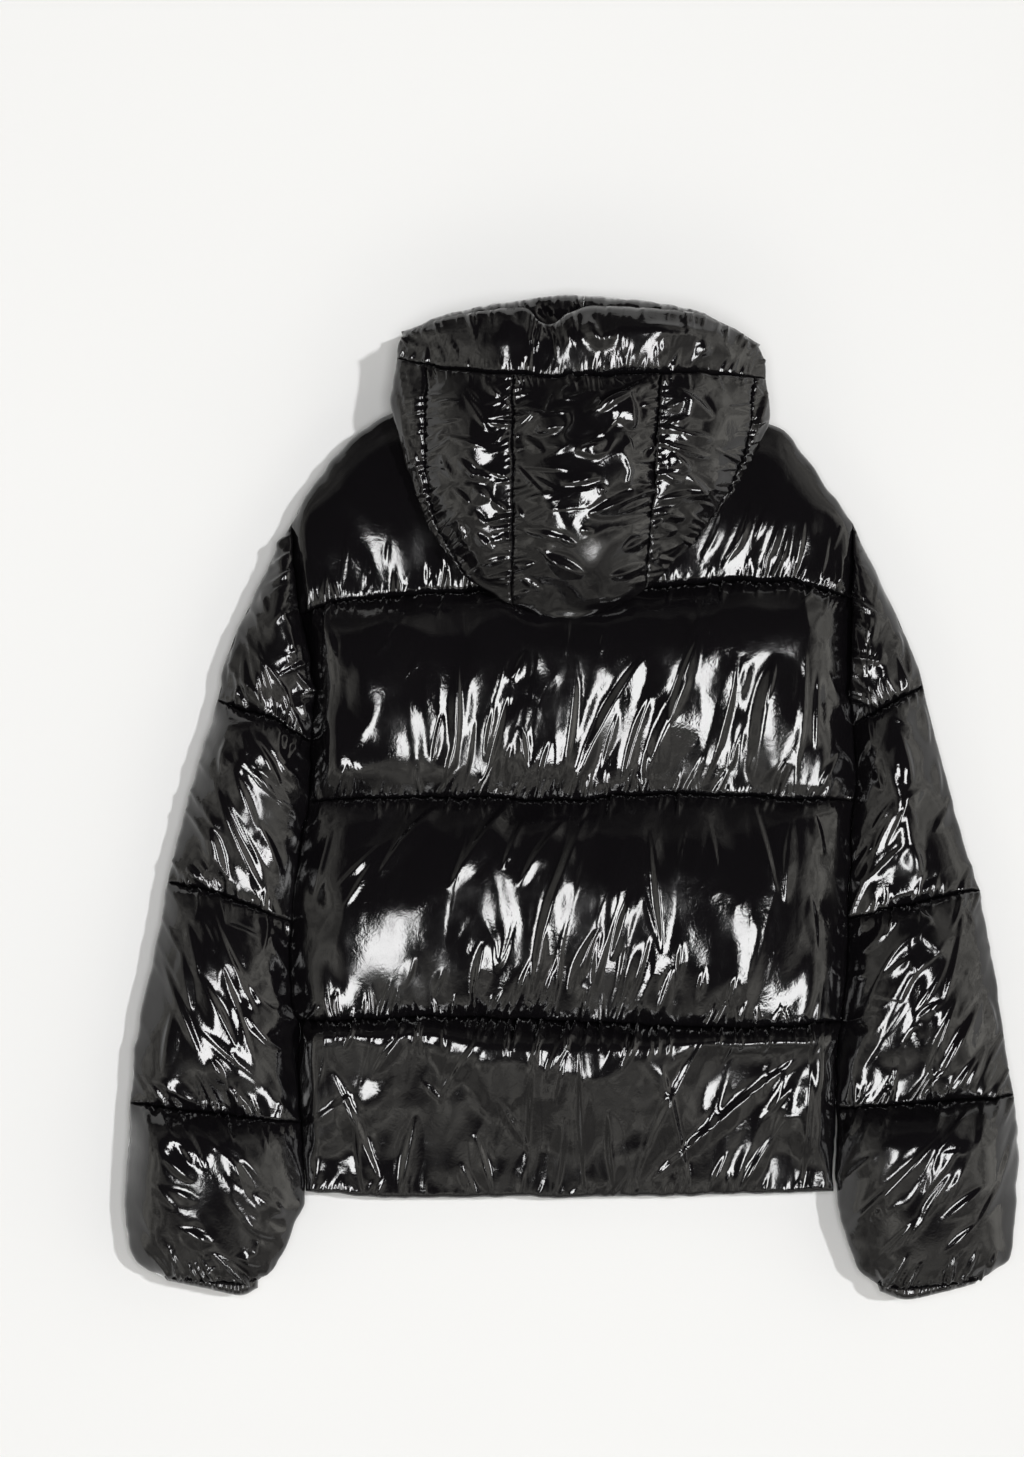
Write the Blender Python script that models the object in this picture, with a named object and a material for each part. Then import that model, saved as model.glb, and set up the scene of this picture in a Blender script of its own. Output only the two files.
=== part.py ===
"""Hooded puffer jacket, zipped closed, lying flat on its front with the hood laid back.

Frame: +X points to the wearer's right, +Y to the hood and +Z up, out of the back. The jacket
rests on z = 0. Tables and sizes are in millimetres and meshes are in metres.

Every baffle (the stretch of padded cloth between two quilt lines) is a closed pad. Its plan is
a patch stretched between four edge lines, and its thickness swells from a sewn pinch at each
edge to a crown. The back pads stand on the lining plane, and the front pads hang below it and
are flat where the jacket rests.
"""
import bmesh
import bpy
import numpy as np

MM = 0.001

# Heights, in millimetres.
LINING_Z = 28.0         # where the back and front layers meet, also the height of the side seams
LAYER_GAP = 0.3         # between pieces that touch
SEAM_INSET = 0.2        # each pad draws in this far at its edges, so seams keep a gap
PINCH = 5.0             # thickness of padded cloth at a seam
BACK_CROWN = 36.0       # thickness of a back baffle at its fullest
BACK_SIDE_CROWN = 30.0  # and towards the side seams
YOKE_CROWN = 24.0       # the yoke is pressed down by the hood
FRONT_CROWN = 34.0      # a front baffle is this full, and pressed flat where it rests
SLEEVE_CROWN = 34.0
CUFF_HALF_THICKNESS = 10.0
CUFF_EDGE_SHARE = 0.7   # of that thickness, left at the cuff's edges
CUFF_DRAWN_IN = 5.0     # the cuff is narrower than the sleeve's end by this, on each side

# How far a pad takes to swell from an edge to its crown.
SIDE_ROLL = 48.0
QUILT_ROLL = 58.0
SHOULDER_ROLL = 60.0
ZIP_ROLL = 30.0
SLEEVE_SIDE_ROLL = 62.0
SLEEVE_QUILT_ROLL = 46.0
CUFF_ROLL = 34.0
CUFF_SIDE_ROLL = 12.0
CUFF_END_ROLL = 4.0
ARMHOLE_ROLL = 26.0

# Zip.
ZIP_X = 2.0
ZIP_HALF_GAP = 8.0      # from the zip's middle to each front's edge
TAPE_Z = 25.0
TAPE_THICKNESS = 1.2
TEETH_HALF_WIDTH = 2.4
TEETH_Z = 23.2
TEETH_THICKNESS = 4.2
ZIP_LOW_Y = -327.0
ZIP_HIGH_Y = 412.0
SLIDER_Y = 392.0
SLIDER_LENGTH = 13.0
SLIDER_WIDTH = 9.0
SLIDER_FRONT_DEPTH = 3.2    # the front plate, from the tape to the bridge
SLIDER_BACK_DEPTH = 1.2
SLIDER_NECK = (3.6, 4.0)    # the wedge between the plates: its width, and how much shorter it is than they
BRIDGE = (2.0, 9.2, 3.1)    # the loop for the pull: width, length and depth below the pivot
BRIDGE_HOLE = (4.0, 6.4, 1.8)
PIVOT_Z = 20.0
PULL_LENGTH = 26.0
PULL_WIDTH = 8.0
PULL_THICKNESS = 1.6
PULL_EYE = 6.4          # from the pivot to the plate's near end
PULL_FRAME = 1.6        # width of metal round the eye
CUT_THROUGH = 2.0       # how far a cutter passes its piece
PULL_TIP_CLEARANCE = 0.3

# Hood heights.
HOOD_UNDER_Z = 53.2     # underside over the yoke
HOOD_NECK_Z = 29.2      # underside beyond the back neck
HOOD_UNDER_ROUND = 10.0 # the underside curves up by this much at the outline
HOOD_RIM_Z = 68.0       # where the outer panels end at the outline
HOOD_BED_Z = 96.0       # the level on which the outer panels lie
HOOD_CROWN = 28.0
BRIM_CROWN = 26.0
HOOD_EDGE_ROLL = 36.0
HOOD_PANEL_ROLL = 40.0
HOOD_RIM_ROLL = 52.0
PANEL_RIM_SHARE = 0.45  # how full a panel stays beside its seams
BRIM_BED_SHARE = 0.6    # the brim's bed rolls down sooner at the top than at the sides
BRIM_BAND_ROLL = 22.0
BRIM_TOP_ROLL = 26.0
BACK_NECK_Y = 341.0     # the hood drops behind the back neck here
BACK_NECK_STEP = 3.0
FOLD_END_Y = 386.0      # the folded layers end under the brim
FOLD_END_ROUND = 5.0
FOLD_DRAWN_IN = 4.0     # and stay inside the outline by this much
FOLD_LAP = 8.0
FOLD_TAPER = (16.0, 41.6)   # narrower at the brim, on the left and on the right

# Columns and rows of the pads' grids.
BACK_CELLS = (16, 8)
YOKE_CELLS = (16, 7)
FRONT_CELLS = (7, 8)
FRONT_YOKE_CELLS = (7, 6)
COLLAR_CELLS = (7, 6)
SLEEVE_CELLS = (6, 6)
CUFF_CELLS = (6, 2)
FOLD_COLUMNS = 12
PANEL_ROWS = 8
BRIM_CELLS = (14, 6)

# Gaps in plan.
ARMHOLE_GAP = 0.8
COLLAR_GAP = 0.8
UNDERARM_Y = 81.0


def table(columns, *rows):
    """Rows of numbers, read by the names of their columns."""
    names = columns.split()
    return {name: np.array([row[k] for row in rows], float) for k, name in enumerate(names)}


def line(name_x, name_y, data):
    """The points of a table's two named columns."""
    return np.stack([data[name_x], data[name_y]], axis=1)


# The body's two side edges, from the shoulder point down to the hem.
BODY = table("y left right",
             (226, -233.0, 232.0),
             (172, -228.0, 231.8),
             (153, -224.6, 231.4),
             (100, -214.6, 230.6),
             (81, -213.6, 230.3),
             (35, -216.0, 235.0),
             (-3, -217.0, 233.2),
             (-45, -225.5, 231.0),
             (-85, -231.2, 229.0),
             (-135, -232.8, 228.0),
             (-176, -230.6, 222.5),
             (-185, -225.4, 222.0),
             (-210, -225.6, 220.0),
             (-250, -225.3, 218.3),
             (-291, -223.0, 217.0),
             (-327, -219.5, 215.6))

# Quilt lines across the body and the hem, from left to right.
QUILTS = {
    "yoke": table("x y", (-224.6, 153), (-170, 165), (-60, 171), (60, 174), (170, 179), (231.6, 165)),
    "middle": table("x y", (-217, -3), (-110, 1), (0, -2), (80, 4), (233.2, -3)),
    "lower": table("x y", (-225.4, -185), (-119, -181), (-10, -184), (130, -190), (222, -185)),
    "hem": table("x y", (-219.5, -327), (-135, -332), (73, -331), (215.6, -327)),
}

# The upper edge of the back, over the shoulders and round the back neck.
BACK_TOP = table("x y", (-233, 226), (-210, 264), (-185, 294), (-151, 318), (-76, 338), (0, 331),
                 (76, 338), (165, 309), (189, 289), (219, 246), (232, 226))

# The upper edge of each front, over the shoulder and down the neckline to the zip.
FRONT_TOP = {
    "left": table("x y", (-233, 226), (-210, 264), (-185, 294), (-151, 318), (-118, 330), (-84, 318),
                  (-45, 300), (-6, 290)),
    "right": table("x y", (10, 290), (49, 300), (88, 318), (128, 325), (165, 309), (189, 289),
                   (219, 246), (232, 226)),
}
NECK_POINT = {"left": -118.0, "right": 128.0}
COLLAR_TOP = {
    "left": table("x y", (-141, 386), (-88, 405), (-6, 417)),
    "right": table("x y", (10, 417), (98, 405), (157, 376)),
}

# The sleeves' outer edges, from the shoulder point down to the cuff.
SLEEVE_OUTER = {
    "left": table("y x", (226, -233.8), (203, -247), (177, -258), (137, -277), (103, -289.5), (81, -294),
                  (35, -308), (-24, -324), (-70, -334.5), (-135, -348), (-195, -360), (-253, -366.5),
                  (-328, -370), (-362, -369), (-379, -365), (-391, -354), (-398, -338)),
    "right": table("y x", (226, 232.8), (205, 243.6), (184, 253.6), (143, 273), (102, 289), (93, 291.5),
                   (43, 304), (-29, 323), (-76, 337.5), (-146, 351.5), (-213, 361.5), (-247, 366.5),
                   (-276, 370), (-314, 370), (-349, 368), (-381, 365), (-390, 355), (-400, 338)),
}
# Their inner edges, from the underarm down beside the body and on past the hem.
SLEEVE_INNER = {
    "left": table("y x", (81, -214.4), (35, -218), (-3, -219), (-45, -227.6), (-104, -233.4), (-135, -234.6),
                  (-180, -233.4), (-220, -227.4), (-271, -226.9), (-331, -222.5), (-352, -230), (-377, -240),
                  (-393, -250), (-399, -260)),
    "right": table("y x", (81, 231.1), (60, 235), (35, 237.5), (-3, 236.5), (-45, 234), (-101, 232.5),
                   (-160, 228.5), (-210, 222.6), (-259, 221.2), (-331, 220.6), (-349, 224.5), (-373, 231.5),
                   (-392, 240), (-404, 254)),
}
# Quilt lines across the sleeves, from the outer edge to the inner one.
SLEEVE_QUILTS = {
    "left": (table("x y", (-294, 81), (-249, 65), (-217.5, 46)),
             table("x y", (-334.5, -70), (-291, -80), (-235, -104)),
             table("x y", (-366.5, -253), (-287, -262), (-226.5, -271)),
             table("x y", (-338, -398), (-301, -400), (-276, -402), (-260, -399))),
    "right": (table("x y", (291.5, 93), (262.7, 77), (235, 60)),
              table("x y", (337.5, -76), (289, -85), (231.5, -101)),
              table("x y", (366.5, -247), (262, -255), (220.5, -258.5)),
              table("x y", (338, -400), (308, -403), (277, -406), (254, -404))),
}
CUFF_END = {
    "left": table("x y", (-328, -404), (-301, -408), (-277, -413), (-264, -408)),
    "right": table("x y", (328, -408), (305, -411.5), (277, -417), (260, -411)),
}

# The hood's outline, from the brim seam to the bag's end, and its seams.
HOOD_OUTLINE = table("y left right",
                     (368, -146, 163),
                     (334, -150.6, 166),
                     (311, -147.5, 164.8),
                     (268, -135, 142.3),
                     (222, -116.5, 111.6),
                     (189, -92, 78.4),
                     (165, -60, 52),
                     (153, -29, 22))
HOOD_BAND = table("x y", (-146, 368), (-112, 358), (-60, 350), (19, 348), (78, 351), (163, 351))
HOOD_SEAMS = {
    "left_outline": table("x y", (-88.4, 184), (-116.5, 222), (-135, 268), (-147.5, 311), (-150.6, 334),
                          (-146, 368)),
    "left_outer": table("x y", (-85.5, 182), (-111, 225), (-121, 275), (-122, 320), (-120, 360)),
    "left_centre": table("x y", (-49, 160), (-49, 230), (-49, 300), (-49, 350)),
    "right_centre": table("x y", (62, 174), (66, 230), (71, 300), (74, 351)),
    "right_outer": table("x y", (99, 209), (128, 250), (148, 300), (152, 351)),
    "right_outline": table("x y", (101.5, 211.5), (111.6, 222), (142.3, 268), (164.8, 311), (166, 334),
                           (163, 351)),
}
HOOD_END = table("x y", (-88.4, 184), (-60, 165), (-49, 160), (-29, 153), (0, 150), (22, 153), (52, 167),
                 (62, 174), (78.4, 189), (99, 209), (101.5, 211.5))
BRIM_TOP = table("x y", (-145.6, 374), (-136.5, 388), (-99, 400.6), (-47, 405), (-18.5, 394), (10, 406),
                 (60, 405.5), (113.6, 399.6), (146.7, 386.1), (162.1, 365.5))

# The largest folds on the back and the sleeves: a soft trough from one end to the other.
FOLDS = table("x0 y0 x1 y1 half_width depth",
              (55, 120, 20, 20, 12, 4),
              (118, 110, 92, 30, 12, 4),
              (-75, 60, -95, 10, 11, 3),
              (20, -30, 0, -150, 12, 4),
              (-28, -195, -30, -325, 12, 5),
              (90, -200, 60, -310, 12, 3),
              (-320, -20, -270, -60, 12, 4),
              (-345, -120, -300, -230, 12, 4),
              (345, -130, 290, -220, 12, 4),
              (330, -280, 280, -360, 12, 4))


def spread(count, gathered=0.55):
    """Fractions from 0 to 1, closer together near both ends, where the pads swell."""
    even = np.linspace(0, 1, count + 1)
    return (1 - gathered) * even + gathered * (0.5 - 0.5 * np.cos(np.pi * even))


def along(points, fractions):
    """Places at the given fractions of a line's length."""
    steps = np.linalg.norm(np.diff(points, axis=0), axis=1)
    reach = np.concatenate([[0], np.cumsum(steps)]) / steps.sum()
    return np.stack([np.interp(fractions, reach, points[:, k]) for k in (0, 1)], axis=-1)


def patch(south, north, west, east, columns, rows):
    """A Coons patch: south and north run west to east, west and east run south to north."""
    u = spread(columns)[:, None, None]
    v = spread(rows)[None, :, None]
    low = along(south, u[:, 0, 0])[:, None, :]
    high = along(north, u[:, 0, 0])[:, None, :]
    start = along(west, v[0, :, 0])[None, :, :]
    end = along(east, v[0, :, 0])[None, :, :]
    corners = ((1 - u) * (1 - v) * low[0, 0] + u * (1 - v) * low[-1, 0]
               + (1 - u) * v * high[0, 0] + u * v * high[-1, 0])
    return (1 - v) * low + v * high + (1 - u) * start + u * end - corners


def drawn_in(plan, inset):
    """The same plan with each edge moved inwards, which leaves the seam gap."""
    moved = plan.copy()
    for edge, inner in ((np.s_[0, :], np.s_[1, :]), (np.s_[-1, :], np.s_[-2, :]),
                        (np.s_[:, 0], np.s_[:, 1]), (np.s_[:, -1], np.s_[:, -2])):
        way = plan[inner] - plan[edge]
        moved[edge] += inset * way / np.linalg.norm(way, axis=-1, keepdims=True)
    return moved


def clipped(data, start, end):
    """The stretch of a left-to-right line between two values of x."""
    inner = [x for x in data["x"] if start < x < end]
    xs = np.array([start] + inner + [end])
    return np.stack([xs, np.interp(xs, data["x"], data["y"])], axis=1)


def side_points(ys, xs, low, high):
    """The stretch of a side edge from a low y up to a high y, from a table that runs downwards."""
    inner = [y for y in ys[::-1] if low < y < high]
    levels = np.array([low] + inner + [high])
    return np.stack([np.interp(levels, ys[::-1], xs[::-1]), levels], axis=1)


def edge_points(data, low, high):
    """The same for a table of y and x."""
    return side_points(data["y"], data["x"], low, high)


def roll(distance, radius):
    """A quarter ellipse: 0 at an edge, 1 from the given radius inwards."""
    short = 1 - np.clip(distance / radius, 0, 1)
    return np.sqrt(np.clip(1 - short ** 2, 0, 1))


def swell(plan, west=None, east=None, south=None, north=None):
    """How full a pad is at each point, from 0 at its rolled edges to 1. Each value is a radius."""
    full = np.ones(plan.shape[:2])
    edges = ((west, plan[:1, :]), (east, plan[-1:, :]), (south, plan[:, :1]), (north, plan[:, -1:]))
    for radius, edge in edges:
        if radius is not None:
            full = full * roll(np.linalg.norm(plan - edge, axis=-1), radius)
    return full


def fold_depth(x, y):
    """How deep the large folds are at a point: a rounded trough that fades at both its ends."""
    depth = np.zeros_like(x)
    for x0, y0, x1, y1, half_width, deepest in zip(*FOLDS.values()):
        run = np.array([x1 - x0, y1 - y0])
        t = np.clip(((x - x0) * run[0] + (y - y0) * run[1]) / (run @ run), 0, 1)
        away = np.hypot(x - x0 - t * run[0], y - y0 - t * run[1])
        depth += deepest * np.exp(-(away / half_width) ** 2) * np.sin(np.pi * np.clip(t, 0.08, 0.92))
    return depth


def cloth_material(name, colour, roughness, metallic=0.0):
    """A Principled finish of the piece's own."""
    material = bpy.data.materials.new(name)
    material.use_nodes = True
    shader = material.node_tree.nodes["Principled BSDF"]
    shader.inputs["Base Color"].default_value = (*colour, 1)
    shader.inputs["Roughness"].default_value = roughness
    shader.inputs["Metallic"].default_value = metallic
    return material


def shell(name):
    """Glossy black coated cloth."""
    return cloth_material(name, (0.016, 0.015, 0.017), 0.16)


def finish(name, mesh, material):
    """A named, smooth-shaded object from a mesh."""
    item = bpy.data.objects.new(name, mesh)
    bpy.context.scene.collection.objects.link(item)
    mesh.materials.append(material)
    mesh.shade_smooth()
    mesh.set_sharp_from_angle(angle=np.radians(40))
    return item


def pad(name, plan, top, bottom):
    """A closed pad: a grid of plan points with a height for its upper and its lower face."""
    wide, deep = plan.shape[:2]
    flat = plan.reshape(-1, 2)
    upper = np.column_stack([flat, top.reshape(-1)])
    lower = np.column_stack([flat, bottom.reshape(-1)])
    number = np.arange(wide * deep).reshape(wide, deep)
    a, b, c, d = number[:-1, :-1], number[1:, :-1], number[1:, 1:], number[:-1, 1:]
    quads = np.stack([a, b, c, d], axis=-1).reshape(-1, 4)
    count = wide * deep
    rim = np.concatenate([number[:, 0], number[-1, 1:], number[-2::-1, -1], number[0, -2:0:-1]])
    following = np.roll(rim, -1)
    walls = np.stack([rim, rim + count, following + count, following], axis=-1)
    faces = np.concatenate([quads, quads[:, ::-1] + count, walls])
    mesh = bpy.data.meshes.new(name)
    mesh.from_pydata((np.concatenate([upper, lower]) * MM).tolist(), [], faces.tolist())
    shape = bmesh.new()
    shape.from_mesh(mesh)
    bmesh.ops.recalc_face_normals(shape, faces=shape.faces)
    shape.to_mesh(mesh)
    shape.free()
    return finish(name, mesh, shell(name))


def back_pad(name, plan, crown, full):
    """A pad that stands on the lining plane."""
    base = np.full(plan.shape[:2], LINING_Z + LAYER_GAP)
    thick = PINCH + (crown - PINCH) * full
    thick = np.maximum(thick - fold_depth(plan[..., 0], plan[..., 1]) * full, PINCH)
    return pad(name, drawn_in(plan, SEAM_INSET), base + thick, base)


def front_pad(name, plan, crown, full):
    """A pad that hangs below the lining plane and is flat where the jacket rests."""
    thick = np.minimum(PINCH + (crown - PINCH) * full, LINING_Z)
    return pad(name, drawn_in(plan, SEAM_INSET), np.full(plan.shape[:2], LINING_Z), LINING_Z - thick)


def quilt_ends(below, above):
    """The y of two quilt lines at the left and at the right side seam."""
    return ((QUILTS[below]["y"][0], QUILTS[above]["y"][0]), (QUILTS[below]["y"][-1], QUILTS[above]["y"][-1]))


def make_back():
    """The four back baffles, from the hem up to the yoke."""
    middle = (BODY["left"][0] + BODY["right"][0]) / 2
    for name, below, above in (("back_hem", "hem", "lower"), ("back_lower", "lower", "middle"),
                               ("back_upper", "middle", "yoke")):
        left, right = quilt_ends(below, above)
        plan = patch(line("x", "y", QUILTS[below]), line("x", "y", QUILTS[above]),
                     side_points(BODY["y"], BODY["left"], *left),
                     side_points(BODY["y"], BODY["right"], *right), *BACK_CELLS)
        across = np.clip((plan[..., 0] - middle) / BODY["right"][0], -1, 1)
        crown = BACK_SIDE_CROWN + (BACK_CROWN - BACK_SIDE_CROWN) * (1 - across ** 2)
        back_pad(name, plan, crown, swell(plan, SIDE_ROLL, SIDE_ROLL, QUILT_ROLL, QUILT_ROLL))
    shoulder = BODY["y"][0]
    plan = patch(line("x", "y", QUILTS["yoke"]), line("x", "y", BACK_TOP),
                 side_points(BODY["y"], BODY["left"], QUILTS["yoke"]["y"][0], shoulder),
                 side_points(BODY["y"], BODY["right"], QUILTS["yoke"]["y"][-1], shoulder), *YOKE_CELLS)
    full = swell(plan, ARMHOLE_ROLL, ARMHOLE_ROLL, QUILT_ROLL, SHOULDER_ROLL)
    back_pad("back_yoke", plan, YOKE_CROWN, full)


def front_plan(side, below, above, cells):
    """One front baffle from its side seam or armhole to the zip. The yoke has no quilt line above it."""
    at = 0 if side == "left" else -1
    zip_edge = ZIP_X - ZIP_HALF_GAP if side == "left" else ZIP_X + ZIP_HALF_GAP
    edges = []
    for name in (below, above):
        if name is None:
            edges.append(line("x", "y", FRONT_TOP[side]))
        else:
            seam_x = QUILTS[name]["x"][at]
            edges.append(clipped(QUILTS[name], min(seam_x, zip_edge), max(seam_x, zip_edge)))
    south, north = edges
    top_y = QUILTS[above]["y"][at] if above else BODY["y"][0]
    seam = side_points(BODY["y"], BODY[side], QUILTS[below]["y"][at], top_y)
    beside_zip = np.array([south[-1 - at], north[-1 - at]])
    west, east = (seam, beside_zip) if side == "left" else (beside_zip, seam)
    return patch(south, north, west, east, *cells)


def make_fronts():
    """Four baffles on each side of the zip."""
    rolls = {"left": (SIDE_ROLL, ZIP_ROLL), "right": (ZIP_ROLL, SIDE_ROLL)}
    for side in ("left", "right"):
        for part, below, above, cells in (("hem", "hem", "lower", FRONT_CELLS),
                                          ("lower", "lower", "middle", FRONT_CELLS),
                                          ("upper", "middle", "yoke", FRONT_CELLS),
                                          ("yoke", "yoke", None, FRONT_YOKE_CELLS)):
            plan = front_plan(side, below, above, cells)
            front_pad(f"front_{side}_{part}", plan, FRONT_CROWN, swell(plan, *rolls[side], QUILT_ROLL, QUILT_ROLL))


def make_collars():
    """The front stand of the collar, lying beyond the neckline up to the top edge."""
    for side in ("left", "right"):
        top = line("x", "y", COLLAR_TOP[side])
        ends = [NECK_POINT[side], ZIP_X - ZIP_HALF_GAP if side == "left" else ZIP_X + ZIP_HALF_GAP]
        south = clipped(FRONT_TOP[side], min(ends), max(ends)) + [0, COLLAR_GAP]
        plan = patch(south, top, np.array([south[0], top[0]]), np.array([south[-1], top[-1]]), *COLLAR_CELLS)
        front_pad(f"collar_{side}", plan, FRONT_CROWN, swell(plan, ZIP_ROLL, ZIP_ROLL, ZIP_ROLL, ZIP_ROLL))


def make_sleeves():
    """Four baffles down each sleeve, each with a back half and a front half, and the cuff."""
    for side in ("left", "right"):
        outward = -1 if side == "left" else 1
        armhole = side_points(BODY["y"], BODY[side] + outward * ARMHOLE_GAP, UNDERARM_Y, BODY["y"][0])
        lines = [armhole[::-1]] + [line("x", "y", data) for data in SLEEVE_QUILTS[side]]
        for number in range(1, 5):
            above, below = lines[number - 1], lines[number]
            outer = edge_points(SLEEVE_OUTER[side], below[0, 1], above[0, 1])
            inner = edge_points(SLEEVE_INNER[side], below[-1, 1], above[-1, 1])
            north_roll = ARMHOLE_ROLL if number == 1 else SLEEVE_QUILT_ROLL
            south_roll = CUFF_ROLL if number == 4 else SLEEVE_QUILT_ROLL
            if side == "right":
                below, above, outer, inner = below[::-1], above[::-1], inner, outer
            plan = patch(below, above, outer, inner, *SLEEVE_CELLS)
            full = swell(plan, SLEEVE_SIDE_ROLL, SLEEVE_SIDE_ROLL, south_roll, north_roll)
            back_pad(f"sleeve_{side}_back_{number}", plan, SLEEVE_CROWN, full)
            front_pad(f"sleeve_{side}_front_{number}", plan, SLEEVE_CROWN, full)
        make_cuff(side, lines[-1])


def make_cuff(side, seam):
    """The elastic casing: a flattened ring drawn in below the last baffle."""
    end = line("x", "y", CUFF_END[side])
    inset = end[:, 0].clip(seam[:, 0].min() + CUFF_DRAWN_IN, seam[:, 0].max() - CUFF_DRAWN_IN)
    order = np.argsort(seam[:, 0])
    north = np.stack([inset, np.interp(inset, seam[order, 0], seam[order, 1]) - LAYER_GAP], axis=1)
    if side == "right":
        north, end = north[::-1], end[::-1]
    plan = patch(end, north, np.array([end[0], north[0]]), np.array([end[-1], north[-1]]), *CUFF_CELLS)
    middle = np.full(plan.shape[:2], LINING_Z)
    full = swell(plan, CUFF_SIDE_ROLL, CUFF_SIDE_ROLL, CUFF_END_ROLL, None)
    bulge = CUFF_HALF_THICKNESS * (CUFF_EDGE_SHARE + (1 - CUFF_EDGE_SHARE) * full)
    pad(f"cuff_{side}", drawn_in(plan, SEAM_INSET), middle + bulge, middle - bulge)


def hood_edge_distance(x, y):
    """How far a point is inside the hood's outline, to the nearer side or to the bag's end."""
    ys = HOOD_OUTLINE["y"][::-1]
    left = np.interp(y, ys, HOOD_OUTLINE["left"][::-1])
    right = np.interp(y, ys, HOOD_OUTLINE["right"][::-1])
    return np.minimum(np.minimum(x - left, right - x), y - HOOD_END["y"].min())


def hood_bed(x, y):
    """The level on which the outer panels lie: flat, and rolled down towards the outline."""
    return HOOD_RIM_Z + (HOOD_BED_Z - HOOD_RIM_Z) * roll(hood_edge_distance(x, y), HOOD_EDGE_ROLL)


def make_hood_fold():
    """The hood's hidden layers: one rounded solid on the yoke that drops behind the back neck."""
    levels = np.array([172, 186, 204, 226, 252, 280, 306, 326, BACK_NECK_Y, BACK_NECK_Y + BACK_NECK_STEP,
                       358, 370, 379, FOLD_END_Y])
    ys = HOOD_OUTLINE["y"][::-1]
    taper = np.interp(levels, [BACK_NECK_Y, FOLD_END_Y], [0, 1])
    left = np.interp(levels, ys, HOOD_OUTLINE["left"][::-1]) + FOLD_DRAWN_IN + FOLD_TAPER[0] * taper
    right = np.interp(levels, ys, HOOD_OUTLINE["right"][::-1]) - FOLD_DRAWN_IN - FOLD_TAPER[1] * taper
    x = left[None, :] + spread(FOLD_COLUMNS)[:, None] * (right - left)[None, :]
    y = np.broadcast_to(levels, x.shape)
    inside = np.minimum(hood_edge_distance(x, y), FOLD_END_Y + FOLD_END_ROUND - y)
    ramp = np.clip((inside - FOLD_LAP) / HOOD_EDGE_ROLL, 0, 1)
    top = HOOD_RIM_Z + (HOOD_BED_Z - HOOD_RIM_Z) * ramp - 2 * LAYER_GAP
    rounding = HOOD_UNDER_ROUND * (1 - roll(inside, HOOD_UNDER_ROUND))
    bottom = np.where(y > BACK_NECK_Y + 1, HOOD_NECK_Z, HOOD_UNDER_Z) + rounding
    pad("hood_fold", np.stack([x, y], axis=-1), top, bottom)


def make_hood_panels():
    """The five outer panels of the hood, between its seams."""
    for name, west_name, east_name, columns in (("hood_end_left", "left_outline", "left_outer", 3),
                                                ("hood_side_left", "left_outer", "left_centre", 5),
                                                ("hood_centre", "left_centre", "right_centre", 8),
                                                ("hood_side_right", "right_centre", "right_outer", 6),
                                                ("hood_end_right", "right_outer", "right_outline", 3)):
        west, east = line("x", "y", HOOD_SEAMS[west_name]), line("x", "y", HOOD_SEAMS[east_name])
        south = clipped(HOOD_END, west[0, 0], east[0, 0])
        north = clipped(HOOD_BAND, west[-1, 0], east[-1, 0])
        west[0], west[-1] = south[0], north[0]
        east[0], east[-1] = south[-1], north[-1]
        plan = patch(south, north, west, east, columns, PANEL_ROWS)
        x, y = plan[..., 0], plan[..., 1]
        bed = hood_bed(x, y)
        rim = roll(hood_edge_distance(x, y), HOOD_RIM_ROLL)
        seam_swell = swell(plan, HOOD_PANEL_ROLL, HOOD_PANEL_ROLL, None, HOOD_PANEL_ROLL)
        thick = PINCH + (HOOD_CROWN - PINCH) * rim * (PANEL_RIM_SHARE + (1 - PANEL_RIM_SHARE) * seam_swell)
        pad(name, drawn_in(plan, SEAM_INSET), bed + thick, bed)


def make_brim():
    """The padded band round the hood's opening, above the band seam."""
    south, north = line("x", "y", HOOD_BAND), line("x", "y", BRIM_TOP)
    plan = patch(south, north, np.array([south[0], north[0]]), np.array([south[-1], north[-1]]), *BRIM_CELLS)
    sides = swell(plan, west=HOOD_EDGE_ROLL, east=HOOD_EDGE_ROLL, north=HOOD_EDGE_ROLL * BRIM_BED_SHARE)
    bed = HOOD_RIM_Z + (HOOD_BED_Z - HOOD_RIM_Z) * sides
    full = swell(plan, HOOD_RIM_ROLL, HOOD_RIM_ROLL, BRIM_BAND_ROLL, BRIM_TOP_ROLL)
    pad("hood_brim", drawn_in(plan, SEAM_INSET), bed + PINCH + (BRIM_CROWN - PINCH) * full, bed)


def box(low, high):
    """A closed box between two corners, in millimetres."""
    shape = bmesh.new()
    bmesh.ops.create_cube(shape, size=1.0)
    low, high = np.array(low, float), np.array(high, float)
    for vertex in shape.verts:
        vertex.co = (low + (np.array(vertex.co) + 0.5) * (high - low)) * MM
    return shape


def solid(name, shape, material):
    """An object from a bmesh, which is freed."""
    mesh = bpy.data.meshes.new(name)
    shape.to_mesh(mesh)
    shape.free()
    return finish(name, mesh, material)


def joined(item, tool_shape, operation):
    """A Boolean of an object with a second shape, which stays as a hidden cutter."""
    mesh = bpy.data.meshes.new(item.name + "_tool")
    tool_shape.to_mesh(mesh)
    tool_shape.free()
    tool = bpy.data.objects.new(f"{item.name}_{operation.lower()}_{len(item.modifiers)}", mesh)
    bpy.context.scene.collection.objects.link(tool)
    tool.hide_render = True
    tool.display_type = "WIRE"
    modifier = item.modifiers.new(operation, "BOOLEAN")
    modifier.operation = operation
    modifier.object = tool


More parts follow.
